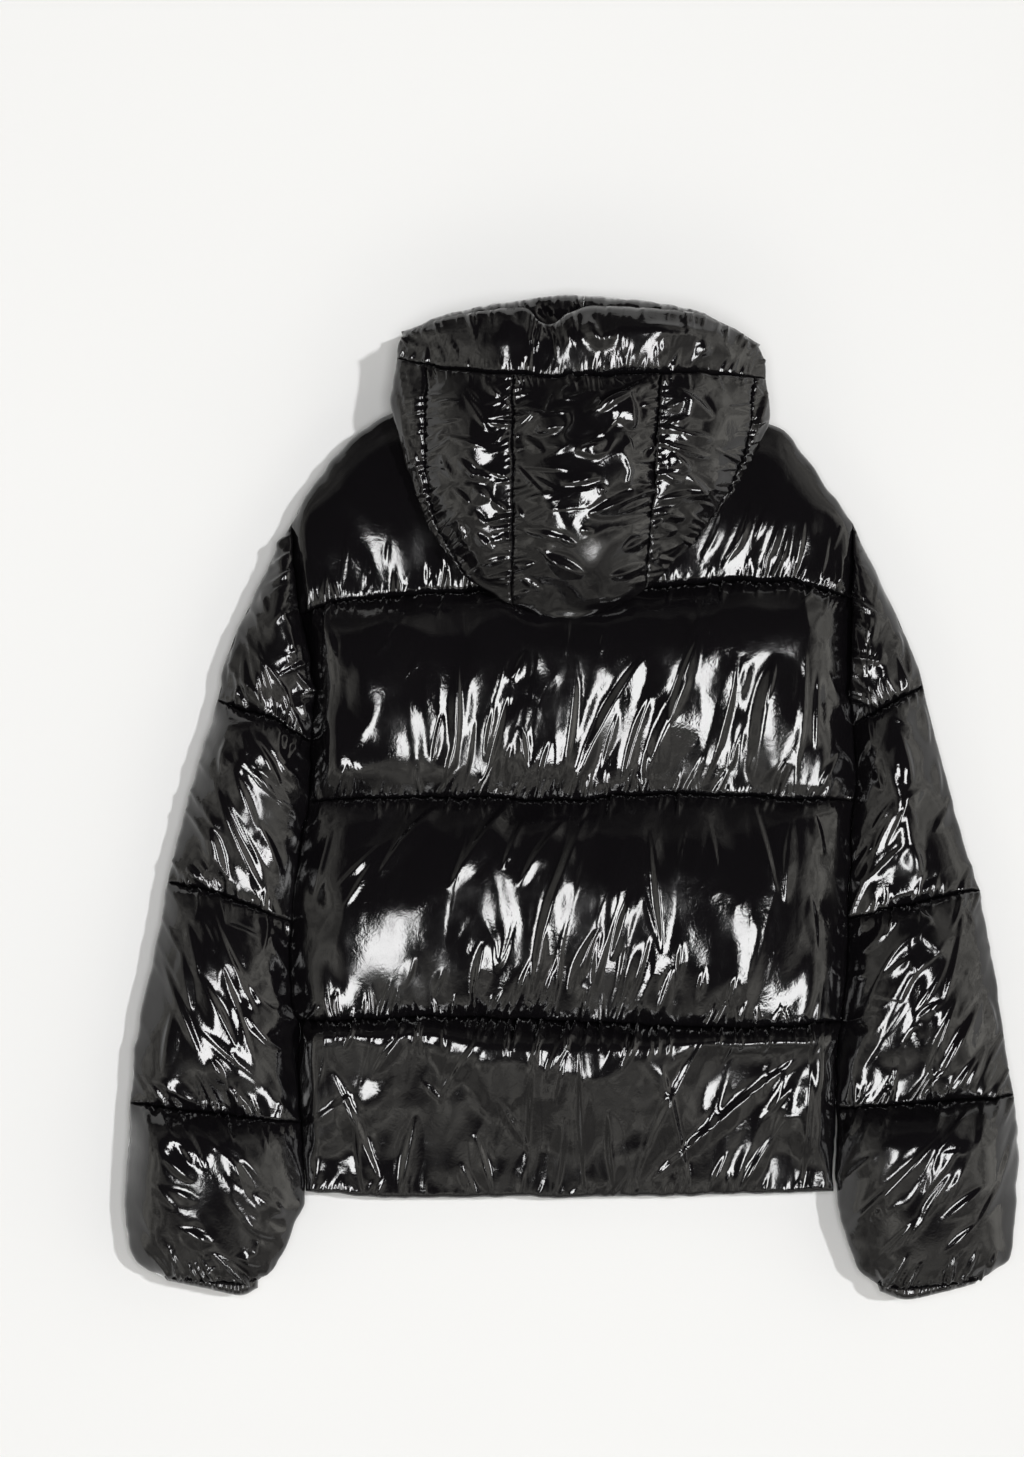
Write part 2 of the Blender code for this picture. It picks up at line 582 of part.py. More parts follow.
def make_zip():
    """Two tapes, the closed row of teeth, the slider at the collar and its pull tab."""
    tape_look = cloth_material("zip_tape", (0.012, 0.012, 0.013), 0.75)
    metal_look = cloth_material("zip_metal", (0.10, 0.10, 0.11), 0.3, 1.0)
    for side, way in (("left", -1), ("right", 1)):
        near = ZIP_X + way * (TEETH_HALF_WIDTH + LAYER_GAP)
        far = ZIP_X + way * (ZIP_HALF_GAP - LAYER_GAP)
        tape = box((min(near, far), ZIP_LOW_Y, TAPE_Z), (max(near, far), ZIP_HIGH_Y, TAPE_Z + TAPE_THICKNESS))
        solid(f"zip_tape_{side}", tape, tape_look)
    teeth_end = SLIDER_Y - SLIDER_LENGTH / 2 - LAYER_GAP
    solid("zip_teeth", box((ZIP_X - TEETH_HALF_WIDTH, ZIP_LOW_Y, TEETH_Z),
                           (ZIP_X + TEETH_HALF_WIDTH, teeth_end, TEETH_Z + TEETH_THICKNESS)), metal_look)
    make_slider(metal_look)
    make_pull(metal_look)


def about_slider(width, length, low, high):
    """A box centred on the slider in plan, between two heights."""
    return box((ZIP_X - width / 2, SLIDER_Y - length / 2, low), (ZIP_X + width / 2, SLIDER_Y + length / 2, high))


def make_slider(look):
    """The slider: a plate on each side of the tapes, the wedge between them and the pull's bridge."""
    front = (TAPE_Z - SLIDER_FRONT_DEPTH, TAPE_Z - LAYER_GAP)
    back_low = TAPE_Z + TAPE_THICKNESS + LAYER_GAP
    lap = 0.5
    slider = solid("zip_slider", about_slider(SLIDER_WIDTH, SLIDER_LENGTH, *front), look)
    joined(slider, about_slider(SLIDER_WIDTH, SLIDER_LENGTH, back_low, back_low + SLIDER_BACK_DEPTH), "UNION")
    neck_width, shorter = SLIDER_NECK
    joined(slider, about_slider(neck_width, SLIDER_LENGTH - shorter, front[1] - lap, back_low + lap), "UNION")
    width, reach, drop = BRIDGE
    joined(slider, about_slider(width, reach, PIVOT_Z - drop, front[0] + lap), "UNION")
    width, reach, drop = BRIDGE_HOLE
    joined(slider, about_slider(width, reach, PIVOT_Z - drop, front[0]), "DIFFERENCE")


def make_pull(look):
    """The pull tab: a plate with a wire eye round the slider's bridge, turned to rest on the surface."""
    drop = PIVOT_Z - PULL_TIP_CLEARANCE - PULL_THICKNESS / 2
    slope = np.arcsin(drop / PULL_LENGTH)
    half, thin = PULL_WIDTH / 2, PULL_THICKNESS / 2
    pull = solid("zip_pull", box((-half, -PULL_LENGTH, -thin), (half, thin, thin)), look)
    pull.location = (ZIP_X * MM, SLIDER_Y * MM, PIVOT_Z * MM)
    pull.rotation_euler = (slope, 0, 0)
    eye = box((-half + PULL_FRAME, -PULL_EYE, -thin - CUT_THROUGH), (half - PULL_FRAME, -thin, thin + CUT_THROUGH))
    joined(pull, eye, "DIFFERENCE")
    cutter = pull.modifiers[0].object
    cutter.location, cutter.rotation_euler = pull.location, pull.rotation_euler


def main():
    for item in list(bpy.data.objects):
        bpy.data.objects.remove(item)
    make_back()
    make_fronts()
    make_collars()
    make_sleeves()
    make_hood_fold()
    make_hood_panels()
    make_brim()
    make_zip()


main()
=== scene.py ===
"""Looks of the hooded puffer jacket: puffed and creased baffles in glossy black coated cloth.

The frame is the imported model's: +X to the wearer's right, +Y to the hood, +Z up out of the back.
Plans and heights are worked out in millimetres and go into the meshes in metres.
"""

import bpy
import numpy as np
from mathutils import Matrix, Vector


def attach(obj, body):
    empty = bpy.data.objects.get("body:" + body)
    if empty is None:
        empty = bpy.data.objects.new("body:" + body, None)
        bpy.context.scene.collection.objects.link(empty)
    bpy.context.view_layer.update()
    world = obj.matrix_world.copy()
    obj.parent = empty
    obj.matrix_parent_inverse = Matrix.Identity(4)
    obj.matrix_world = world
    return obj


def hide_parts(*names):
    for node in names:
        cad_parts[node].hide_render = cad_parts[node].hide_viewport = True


MM = 0.001

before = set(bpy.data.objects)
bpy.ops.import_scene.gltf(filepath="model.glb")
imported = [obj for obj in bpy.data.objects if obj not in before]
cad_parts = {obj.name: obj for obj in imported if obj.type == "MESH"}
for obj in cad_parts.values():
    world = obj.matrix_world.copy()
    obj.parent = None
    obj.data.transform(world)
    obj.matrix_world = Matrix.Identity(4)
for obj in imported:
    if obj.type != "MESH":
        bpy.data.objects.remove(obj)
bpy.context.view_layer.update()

# ---------------------------------------------------------------- sizes, in millimetres

LINING_Z = 28.0          # the plane in which the back and front layers meet
QUILT_EDGE = 14.0        # thickness of the cloth beside a quilt line
STITCH_GROOVE = 1.9      # and how far the stitching itself draws it in
GROOVE_HALF_WIDTH = 1.4
SIDE_SEAM_OUT = 1.0      # the puffed sides press out past their seams
HOOD_EDGE = 5.0
SIDE_EDGE = 1.6          # and at a side seam
BACK_CROWN = 33.0        # fullness of each kind of baffle before the pressure fills it
BACK_SIDE_CROWN = 17.0
YOKE_CROWN = 17.0
HEM_FULLER = 9.0         # how much fuller the hem is than the baffles above it
LOWER_SEAM_UP = 8.0      # the seam above the hem lies higher than the others
HEM_EDGE = 3.0
HEM_PRESSURE = 0.0
SLEEVE_CROWNS = (27.0, 31.0, 28.0, 45.0)
FRONT_CROWN = 30.0
FLOOR_CLEARANCE = 0.1

CLOTH_PITCH = 6.0        # spacing of the cloth's threads in the settling
HIDDEN_PITCH = 9.0
HOOD_PITCH, COLLAR_PITCH, CUFF_PITCH = 5.0, 2.0, 0.9
# Long folds: their lean from the y axis in radians, spacing, length and height, and, for two baffles, the
# middle and the reach in x beyond which they fade.
BODY_FOLDS = (0.25, 17.0, 90.0, 1.3)
LOWER_FOLDS = (0.25, 17.0, 90.0, 1.4, (10.0, 115.0))
UPPER_FOLDS = (0.22, 23.0, 130.0, 1.9, (62.0, 165.0))
SLEEVE_FOLDS = {"left": (-0.55, 15.0, 70.0, 2.0), "right": (0.50, 15.0, 70.0, 2.0)}
HOOD_FOLDS = (1.15, 15.0, 34.0, 1.5)
BRIM_FOLDS = (0.5, 12.0, 40.0, 0.8)
# The heights that the puffed cloth stays under, and how softly it is pressed below them.
BACK_CEILING = LINING_Z + 72
SLEEVE_CEILING = LINING_Z + 60
YOKE_CEILING = LINING_Z + 38
HOOD_CEILING = 136.0
CEILING_SOFTNESS = {BACK_CEILING: 14.0, SLEEVE_CEILING: 14.0, YOKE_CEILING: 14.0, HOOD_CEILING: 6.0}

CLOTH_SETTINGS = {"mass": 0.02, "quality": 5, "air_damping": 1.0, "tension_stiffness": 15,
                  "compression_stiffness": 15, "shear_stiffness": 5, "bending_stiffness": 0.05}
FINER_PASSES = 2         # how often the settled cloth's cells are halved
SLACK = 0.035            # how much more cloth each baffle holds than its smooth form needs
PRESSURE = 2.5
SETTLING_FRAMES = 20
FARTHEST_MOVE = 20.0
EASING = 4
BRIM_EASING = 1
CREST_WANDER = 0.07

# How the forms rise from their borders: a radius for a quarter ellipse, or a radius, a power and the
# share that rises at once over the lip.
LIP = 9.0
SIDE_ROLL = (46.0, 1.9, 0.0)
UPPER_LEFT_ROLL = (22.0, 2.0, 0.0)
QUILT_ROLL = (130.0, 1.7, 0.3)
UPPER_QUILT_ROLL = (110.0, 1.6, 0.3)
QUILT_TOP_ROLL = (38.0, 2.4, 0.3)
HEM_ROLL = (134.0, 1.13, 0.0)
HEM_SIDE_ROLL = (15.0, 1.9, 0.0)
HEM_TOP_ROLL = (8.0, 2.0, 0.0)
YOKE_ROLL = (17.0, 2.2, 0.4)
SHOULDER_ROLL = 105.0
ZIP_ROLL = 30.0
SLEEVE_SIDE_ROLLS = {"left": ((38.0, 2.2, 0.0), (70.0, 1.7, 0.0)),
                     "right": ((56.0, 2.0, 0.0), (56.0, 2.0, 0.0))}
SLEEVE_QUILT_ROLL = (100.0, 1.7, 0.3)
SLEEVE_TOP_ROLL = (36.0, 2.2, 0.3)
CUFF_ROLL = (124.0, 1.15, 0.0)
ARMHOLE_ROLL = 26.0

HOOD_RIM_Z = 58.0
HOOD_BED_Z = 100.0
HOOD_EDGE_ROLL = (96.0, 1.35, 0.0)
HOOD_RIM_ROLL = (48.0, 1.6, 0.0)
HOOD_PANEL_ROLL = (36.0, 1.7, 0.0)
HOOD_CROWN = 17.0
HOOD_OWN_SHARES = (0.6, 0.6, 0.6, 0.3, 0.2)   # how much of its own roundness each outer panel has
BEYOND_BRIM = {"left": (-147, 480), "right": (165, 480)}   # the panels' bed has no end above the brim
FULLER_BRIM = (25.0, 35.0)   # the brim's lower edge changes its roll from this x on, over this width
BRIM_ROLL = (6.0, 2.0, 0.0)
BAND_ROLLS = ((54.0, 1.5, 0.0), (56.0, 1.1, 0.0))   # right of the pinch, and farther right
HOOD_GROOVE = 0.9
# The hood's lines are noted as seen from the camera, and what stands higher looks larger from there, so
# they are drawn in about the point below it.
HOOD_DRAWN_IN = 0.98
OVERHEAD = np.array([-49.4, 57.3])
HOOD_UNDER_Z = 53.2
HOOD_NECK_Z = 29.2
BACK_NECK_Y = 341.0      # the hood's folded layers drop behind the neck here
FOLD_START_Y, FOLD_END_Y = 160, 386.0
FOLD_ROWS, FOLD_COLUMNS = 90, 110

ZIP_X = 2.0
ZIP_HALF_GAP = 8.0
ZIP_EDGE = 3.0           # thickness of a front beside the zip
BODY_HALF_WIDTH = 232.0
SHOULDER_Y = 226.0
BEYOND_BODY = 400.0      # farther out than any side seam
CALM_END = (-80.0, 60.0)   # left of this x the upper baffle's lower edge rolls sooner, over this width
YOKE_END = 5.0           # thickness of the yoke at the armholes
ARMHOLE_GAP = 0.8
SEAM_WAVER = 1.3
COLLAR_GAP = 0.8
UNDERARM_Y = 81.0
SLEEVE_TOUCH = 0.2
GAP_OPENS = {"left": -330.0, "right": -268.0}   # below here the floor shows between sleeve and body


def table(columns, *rows):
    """Rows of numbers, read by the names of their columns."""
    return {name: np.array([row[k] for row in rows], float) for k, name in enumerate(columns.split())}


def line(data, columns="x y"):
    """The points of a table's two named columns."""
    return np.stack([data[name] for name in columns.split()], axis=1)


# The body's two side edges, from the shoulder point down to the hem.
BODY = table("y left right",
             (226, -233.0, 232.0), (172, -228.0, 231.8), (153, -224.6, 231.4), (100, -214.6, 230.6),
             (81, -213.6, 230.3), (35, -216.0, 235.0), (-3, -217.0, 233.2), (-45, -225.5, 231.0),
             (-85, -231.2, 229.0), (-135, -232.8, 228.0), (-176, -230.6, 222.5), (-185, -225.4, 222.0),
             (-210, -225.3, 220.0), (-250, -225.3, 218.3), (-291, -223.0, 217.0), (-327, -219.5, 215.6))

# Quilt lines across the body and the hem, from left to right.
QUILTS = {
    "yoke": table("x y", (-224.6, 153), (-170, 165), (-60, 171), (60, 174), (170, 179), (231.6, 165)),
    "middle": table("x y", (-217, -3), (-110, 1), (0, -2), (80, 4), (233.2, -3)),
    "lower": table("x y", (-225.4, -185), (-119, -181), (-10, -184), (130, -190), (222, -185)),
    "hem": table("x y", (-219.5, -327), (-135, -332), (73, -331), (215.6, -327)),
}

BACK_TOP = table("x y", (-233, 226), (-210, 264), (-185, 294), (-151, 318), (-76, 338), (0, 331),
                 (76, 338), (165, 309), (189, 289), (219, 246), (232, 226))
FRONT_TOP = {
    "left": table("x y", (-233, 226), (-210, 264), (-185, 294), (-151, 318), (-118, 330), (-84, 318),
                  (-45, 300), (-6, 290)),
    "right": table("x y", (10, 290), (49, 300), (88, 318), (128, 325), (165, 309), (189, 289),
                   (219, 246), (232, 226)),
}
NECK_POINT = {"left": -118.0, "right": 128.0}
COLLAR_TOP = {
    "left": table("x y", (-141, 386), (-88, 405), (-6, 417)),
    "right": table("x y", (10, 417), (98, 405), (157, 376)),
}

# The sleeves' edges, from the shoulder or underarm down to the cuff.
SLEEVE_OUTER = {
    "left": table("y x", (226, -233.8), (203, -247), (177, -258), (137, -277), (103, -289.5), (81, -294),
                  (35, -308), (-24, -324), (-70, -334.5), (-135, -348), (-195, -360), (-253, -366.5),
                  (-328, -370), (-362, -369), (-379, -365), (-391, -354), (-398, -338)),
    "right": table("y x", (226, 232.8), (205, 243.6), (184, 253.6), (143, 273), (102, 289), (93, 291.5),
                   (43, 304), (-29, 323), (-76, 337.5), (-146, 351.5), (-213, 361.5), (-247, 366.5),
                   (-276, 370), (-314, 370), (-349, 368), (-381, 365), (-390, 355), (-400, 338)),
}
SLEEVE_INNER = {
    "left": table("y x", (81, -214.4), (35, -218), (-3, -219), (-45, -227.6), (-104, -233.4),
                  (-135, -234.6), (-172, -232.8), (-187, -228.4), (-220, -227.4), (-271, -226.4),
                  (-331, -222.5), (-352, -230), (-377, -240), (-393, -250), (-399, -260)),
    "right": table("y x", (81, 231.1), (60, 235), (35, 237.5), (-3, 236.5), (-45, 234), (-101, 232.5),
                   (-160, 228.5), (-210, 222.6), (-259, 221.2), (-331, 220.6), (-349, 224.5), (-373, 231.5),
                   (-392, 240), (-404, 254)),
}
# Quilt lines across the sleeves, from the outer edge to the inner one.
SLEEVE_QUILTS = {
    "left": (table("x y", (-294, 81), (-249, 65), (-217.5, 46)),
             table("x y", (-334.5, -70), (-291, -80), (-235, -104)),
             table("x y", (-366.5, -253), (-287, -262), (-226.5, -271)),
             table("x y", (-338, -398), (-301, -400), (-276, -402), (-260, -399))),
    "right": (table("x y", (291.5, 93), (262.7, 77), (235, 60)),
              table("x y", (337.5, -76), (289, -85), (231.5, -101)),
              table("x y", (366.5, -247), (262, -255), (220.5, -258.5)),
              table("x y", (338, -400), (308, -403), (277, -406), (254, -404))),
}
CUFF_END = {
    "left": table("x y", (-336, -401), (-303, -407.6), (-275, -413.5), (-260.5, -407)),
    "right": table("x y", (335, -403.5), (305, -411.5), (277, -417), (256, -410)),
}

# The hood's outline, from the brim seam to the bag's end, and its seams.
HOOD_OUTLINE = table("y left right", (368, -146, 163), (334, -150.6, 166), (311, -147.5, 164.8),
                     (268, -135, 142.3), (222, -116.5, 111.6), (189, -92, 78.4), (165, -60, 52),
                     (153, -29, 22))
HOOD_BAND = table("x y", (-146, 368), (-112, 358), (-60, 350), (19, 348), (78, 351), (163, 351))
HOOD_SEAMS = {
    "left_outline": table("x y", (-88.4, 184), (-116.5, 222), (-135, 268), (-147.5, 311), (-150.6, 334),
                          (-146, 368)),
    "left_outer": table("x y", (-85.5, 182), (-111, 225), (-121, 275), (-122, 320), (-120, 360)),
    "left_centre": table("x y", (-49, 160), (-49, 230), (-49, 300), (-49, 350)),
    "right_centre": table("x y", (62, 174), (66, 230), (71, 300), (74, 351)),
    "right_outer": table("x y", (99, 209), (128, 250), (148, 300), (152, 351)),
    "right_outline": table("x y", (101.5, 211.5), (111.6, 222), (142.3, 268), (164.8, 311), (166, 334),
                           (163, 351)),
}
HOOD_END = table("x y", (-88.4, 184), (-60, 165), (-49, 160), (-29, 153), (0, 150), (22, 153), (52, 167),
                 (62, 174), (78.4, 189), (99, 209), (101.5, 211.5))
BRIM_TOP = table("x y", (-145.6, 374), (-143, 381), (-136.5, 388), (-123.8, 394.4), (-99, 400.6),
                 (-72.2, 403.7), (-47.4, 405.8), (-35, 402.6), (-26.8, 394.4), (-18.5, 391.3), (-10.3, 394.4),
                 (-2, 401.6), (16.6, 407.8), (41.3, 406.8), (72.3, 404.7), (93, 403.7), (113.6, 399.6),
                 (134.3, 392.3), (146.7, 386.1), (157, 377.9), (162.1, 365.5))

# How full the brim is from side to side, with its pinch at the middle.
BRIM_CROWNS = table("x crown", (-100, 15), (-20, 13), (-5, 22), (20, 23), (55, 29.5))


# ---------------------------------------------------------------- lines and grids

def smoothed(points, steps=6):
    """A Catmull-Rom curve through the points: each span is the cubic that leaves and reaches its ends
    with half the step between their two neighbours."""
    ends = np.concatenate([2 * points[:1] - points[1:2], points, 2 * points[-1:] - points[-2:-1]])
    before, start, end, after = ends[:-3, None], ends[1:-2, None], ends[2:-1, None], ends[3:, None]
    t = (np.arange(steps) / steps)[None, :, None]
    spans = 0.5 * (2 * start + (end - before) * t + (2 * before - 5 * start + 4 * end - after) * t ** 2
                   + (3 * start - 3 * end + after - before) * t ** 3)
    return np.concatenate([spans.reshape(-1, 2), points[-1:]])


def length(points):
    """The length of a line of points."""
    return np.linalg.norm(np.diff(points, axis=0), axis=1).sum()


def along(points, count):
    """count + 1 places at even steps along a line."""
    steps = np.linalg.norm(np.diff(points, axis=0), axis=1)
    reach = np.concatenate([[0], np.cumsum(steps)]) / steps.sum()
    return np.stack([np.interp(np.linspace(0, 1, count + 1), reach, points[:, k]) for k in (0, 1)], axis=-1)


def patch(south, north, west, east, pitch):
    """A Coons patch between four lines: the two blends of facing lines, less the blend of the corners.
    South and north run west to east, west and east run south to north; cells are about pitch wide."""
    columns = max(int(round((length(south) + length(north)) / 2 / pitch)), 3)
    rows = max(int(round((length(west) + length(east)) / 2 / pitch)), 3)
    u = np.linspace(0, 1, columns + 1)[:, None, None]
    v = np.linspace(0, 1, rows + 1)[None, :, None]
    low, high = along(south, columns)[:, None, :], along(north, columns)[:, None, :]
    start, end = along(west, rows)[None, :, :], along(east, rows)[None, :, :]
    corners = ((1 - u) * (1 - v) * low[0, 0] + u * (1 - v) * low[-1, 0]
               + (1 - u) * v * high[0, 0] + u * v * high[-1, 0])
    return (1 - v) * low + v * high + (1 - u) * start + u * end - corners


def clipped(points, start, end):
    """The stretch of a left-to-right line between two values of x."""
    inner = points[(points[:, 0] > start) & (points[:, 0] < end), 0]
    xs = np.concatenate([[start], inner, [end]])
    return np.stack([xs, np.interp(xs, points[:, 0], points[:, 1])], axis=1)


def upward(points, low, high):
    """The stretch of a side edge from a low y up to a high y."""
    rising = points[np.argsort(points[:, 1])]
    inner = rising[(rising[:, 1] > low) & (rising[:, 1] < high), 1]
    levels = np.concatenate([[low], inner, [high]])
    return np.stack([np.interp(levels, rising[:, 1], rising[:, 0]), levels], axis=1)


def body_side(side, low, high, out=0.0):
    """A stretch of the body's side seam or armhole, moved out by a gap."""
    if not out:
        out = SIDE_SEAM_OUT if side == "right" else -SIDE_SEAM_OUT
    return upward(smoothed(line(BODY, f"{side} y")) + [out, 0], low, high)


def roll(distance, shape):
    """The rise from 0 at an edge to 1 at a radius inwards: a quarter ellipse, or, where a power is given
    with the radius, one less that power of the way still to go, which slopes more evenly, after a
    share of the rise that is a quarter ellipse over the lip."""
    if not isinstance(shape, tuple):
        return np.sqrt(np.clip(1 - (1 - np.clip(distance / shape, 0, 1)) ** 2, 0, 1))
    radius, power, share = shape
    return share * roll(distance, LIP) + (1 - share) * (1 - (1 - np.clip(distance / radius, 0, 1)) ** power)


def swell(plan, west=None, east=None, south=None, north=None):
    """How full a pad is, from 0 at its rolled edges to 1: the product of the four edges' rolls."""
    full = np.ones(plan.shape[:2])
    edges = plan[:1, :], plan[-1:, :], plan[:, :1], plan[:, -1:]
    for radius, edge in zip((west, east, south, north), edges):
        if radius is not None:
            full = full * roll(np.linalg.norm(plan - edge, axis=-1), radius)
    return full


def unevenness(x, y, across, down, seed):
    """Smooth noise of about unit size: random values on a lattice of the given cells, blended by the
    cubic 3t^2 - 2t^3 between the lattice's lines."""
    random = np.random.default_rng(seed)
    lattice = random.normal(size=(64, 64))
    i, j = x / across + 1000.0, y / down + 1000.0
    i0, j0 = np.floor(i).astype(int), np.floor(j).astype(int)
    f, g = i - i0, j - j0
    f, g = f * f * (3 - 2 * f), g * g * (3 - 2 * g)
    i1, j1 = (i0 + 1) % 64, (j0 + 1) % 64
    i0, j0 = i0 % 64, j0 % 64
    return ((lattice[i0, j0] * (1 - f) + lattice[i1, j0] * f) * (1 - g)
            + (lattice[i0, j1] * (1 - f) + lattice[i1, j1] * f) * g)


def wavered(plan):
    """A plan with its points moved a little by place alone, so that seams waver and neighbours still meet."""
    x, y = plan[..., 0], plan[..., 1]
    moves = [0.55 * unevenness(x, y, 13, 13, seed) + 0.25 * unevenness(x, y, 6.5, 6.5, seed + 1)
             for seed in (301, 303)]
    return plan + SEAM_WAVER * np.stack(moves, axis=-1)


def finer(grid):
    """Twice as many cells each way: each new point is the cubic midpoint, nine sixteenths of its two
    neighbours less one sixteenth of the next two."""
    for axis in (0, 1):
        rows = np.moveaxis(grid, axis, 0)
        ends = np.concatenate([2 * rows[:1] - rows[1:2], rows, 2 * rows[-1:] - rows[-2:-1]])
        middles = (9 * (ends[1:-2] + ends[2:-1]) - ends[:-3] - ends[3:]) / 16
        doubled = np.empty((2 * len(rows) - 1,) + rows.shape[1:])
        doubled[0::2], doubled[1::2] = rows, middles
        grid = np.moveaxis(doubled, 0, axis)
    return grid


def eased(grid, passes):
    """Each inner point moved halfway to the mean of its four neighbours, a few times."""
    for _ in range(passes):
        moved = grid.copy()
        moved[1:-1, 1:-1] = 0.5 * grid[1:-1, 1:-1] + 0.125 * (grid[:-2, 1:-1] + grid[2:, 1:-1]
                                                              + grid[1:-1, :-2] + grid[1:-1, 2:])
        grid = moved
    return grid


# ---------------------------------------------------------------- creases

# The creases are placed in the units of close views from above. Each view is given by its corner in the
# whole view and by how many of its own units make one unit there.
VIEW_ORIGIN = (571.5, 797.5)   # the point of the whole view that lies over x = 0, y = 0
VIEW_UNIT = 0.83         # millimetres
UPPER_BACK = ((290, 400), 2.7034)
LOWER_BACK = ((290, 780), 2.7034)
LEFT_SLEEVE_TOP = ((110, 480), 3.733)
LEFT_SLEEVE_END = ((110, 880), 3.6465)
RIGHT_SLEEVE_TOP = ((820, 500), 3.92)
RIGHT_SLEEVE_END = ((820, 880), 3.6465)
HOOD = ((385, 285), 4.0205)

CREASE_SPREAD = 0.62     # a crease's half width, as a share of the width given
NARROWEST_CREASE = 1.8   # least half width
WIDE_CREASE = 8.0        # beyond this half width a crease is less steep
CREASE_STEEPNESS = {"narrow": 0.36, "wide": 0.3}   # its height, as a share of its half width
HOOD_CREASE_GAIN = 1.8
PUCKER_GAIN = 2.0
PUCKER_START = 0.4       # below 1, a pucker is highest near the seam that it starts from


def placed(view, *creases):
    """Creases as rows in millimetres, x and y of both ends, half width, height and bow. They are given in a
    close view's units: across and down of both ends, the width, and the bow to the side if there is one."""
    (left, top), enlarged = view
    rows = []
    for *ends, width, bow in (crease if len(crease) == 6 else (*crease, 0) for crease in creases):
        x0, x1 = (round((left + across / enlarged - VIEW_ORIGIN[0]) * VIEW_UNIT) for across in ends[0::2])
        y0, y1 = (round((VIEW_ORIGIN[1] - (top + down / enlarged)) * VIEW_UNIT) for down in ends[1::2])
        half = max(width / enlarged * VIEW_UNIT * CREASE_SPREAD, NARROWEST_CREASE)
        steepness = CREASE_STEEPNESS["wide" if half > WIDE_CREASE else "narrow"]
        bow = round(bow * VIEW_UNIT / enlarged)
        rows.append((x0, y0, x1, y1, round(half, 1), round(half * steepness, 1), bow))
    return rows


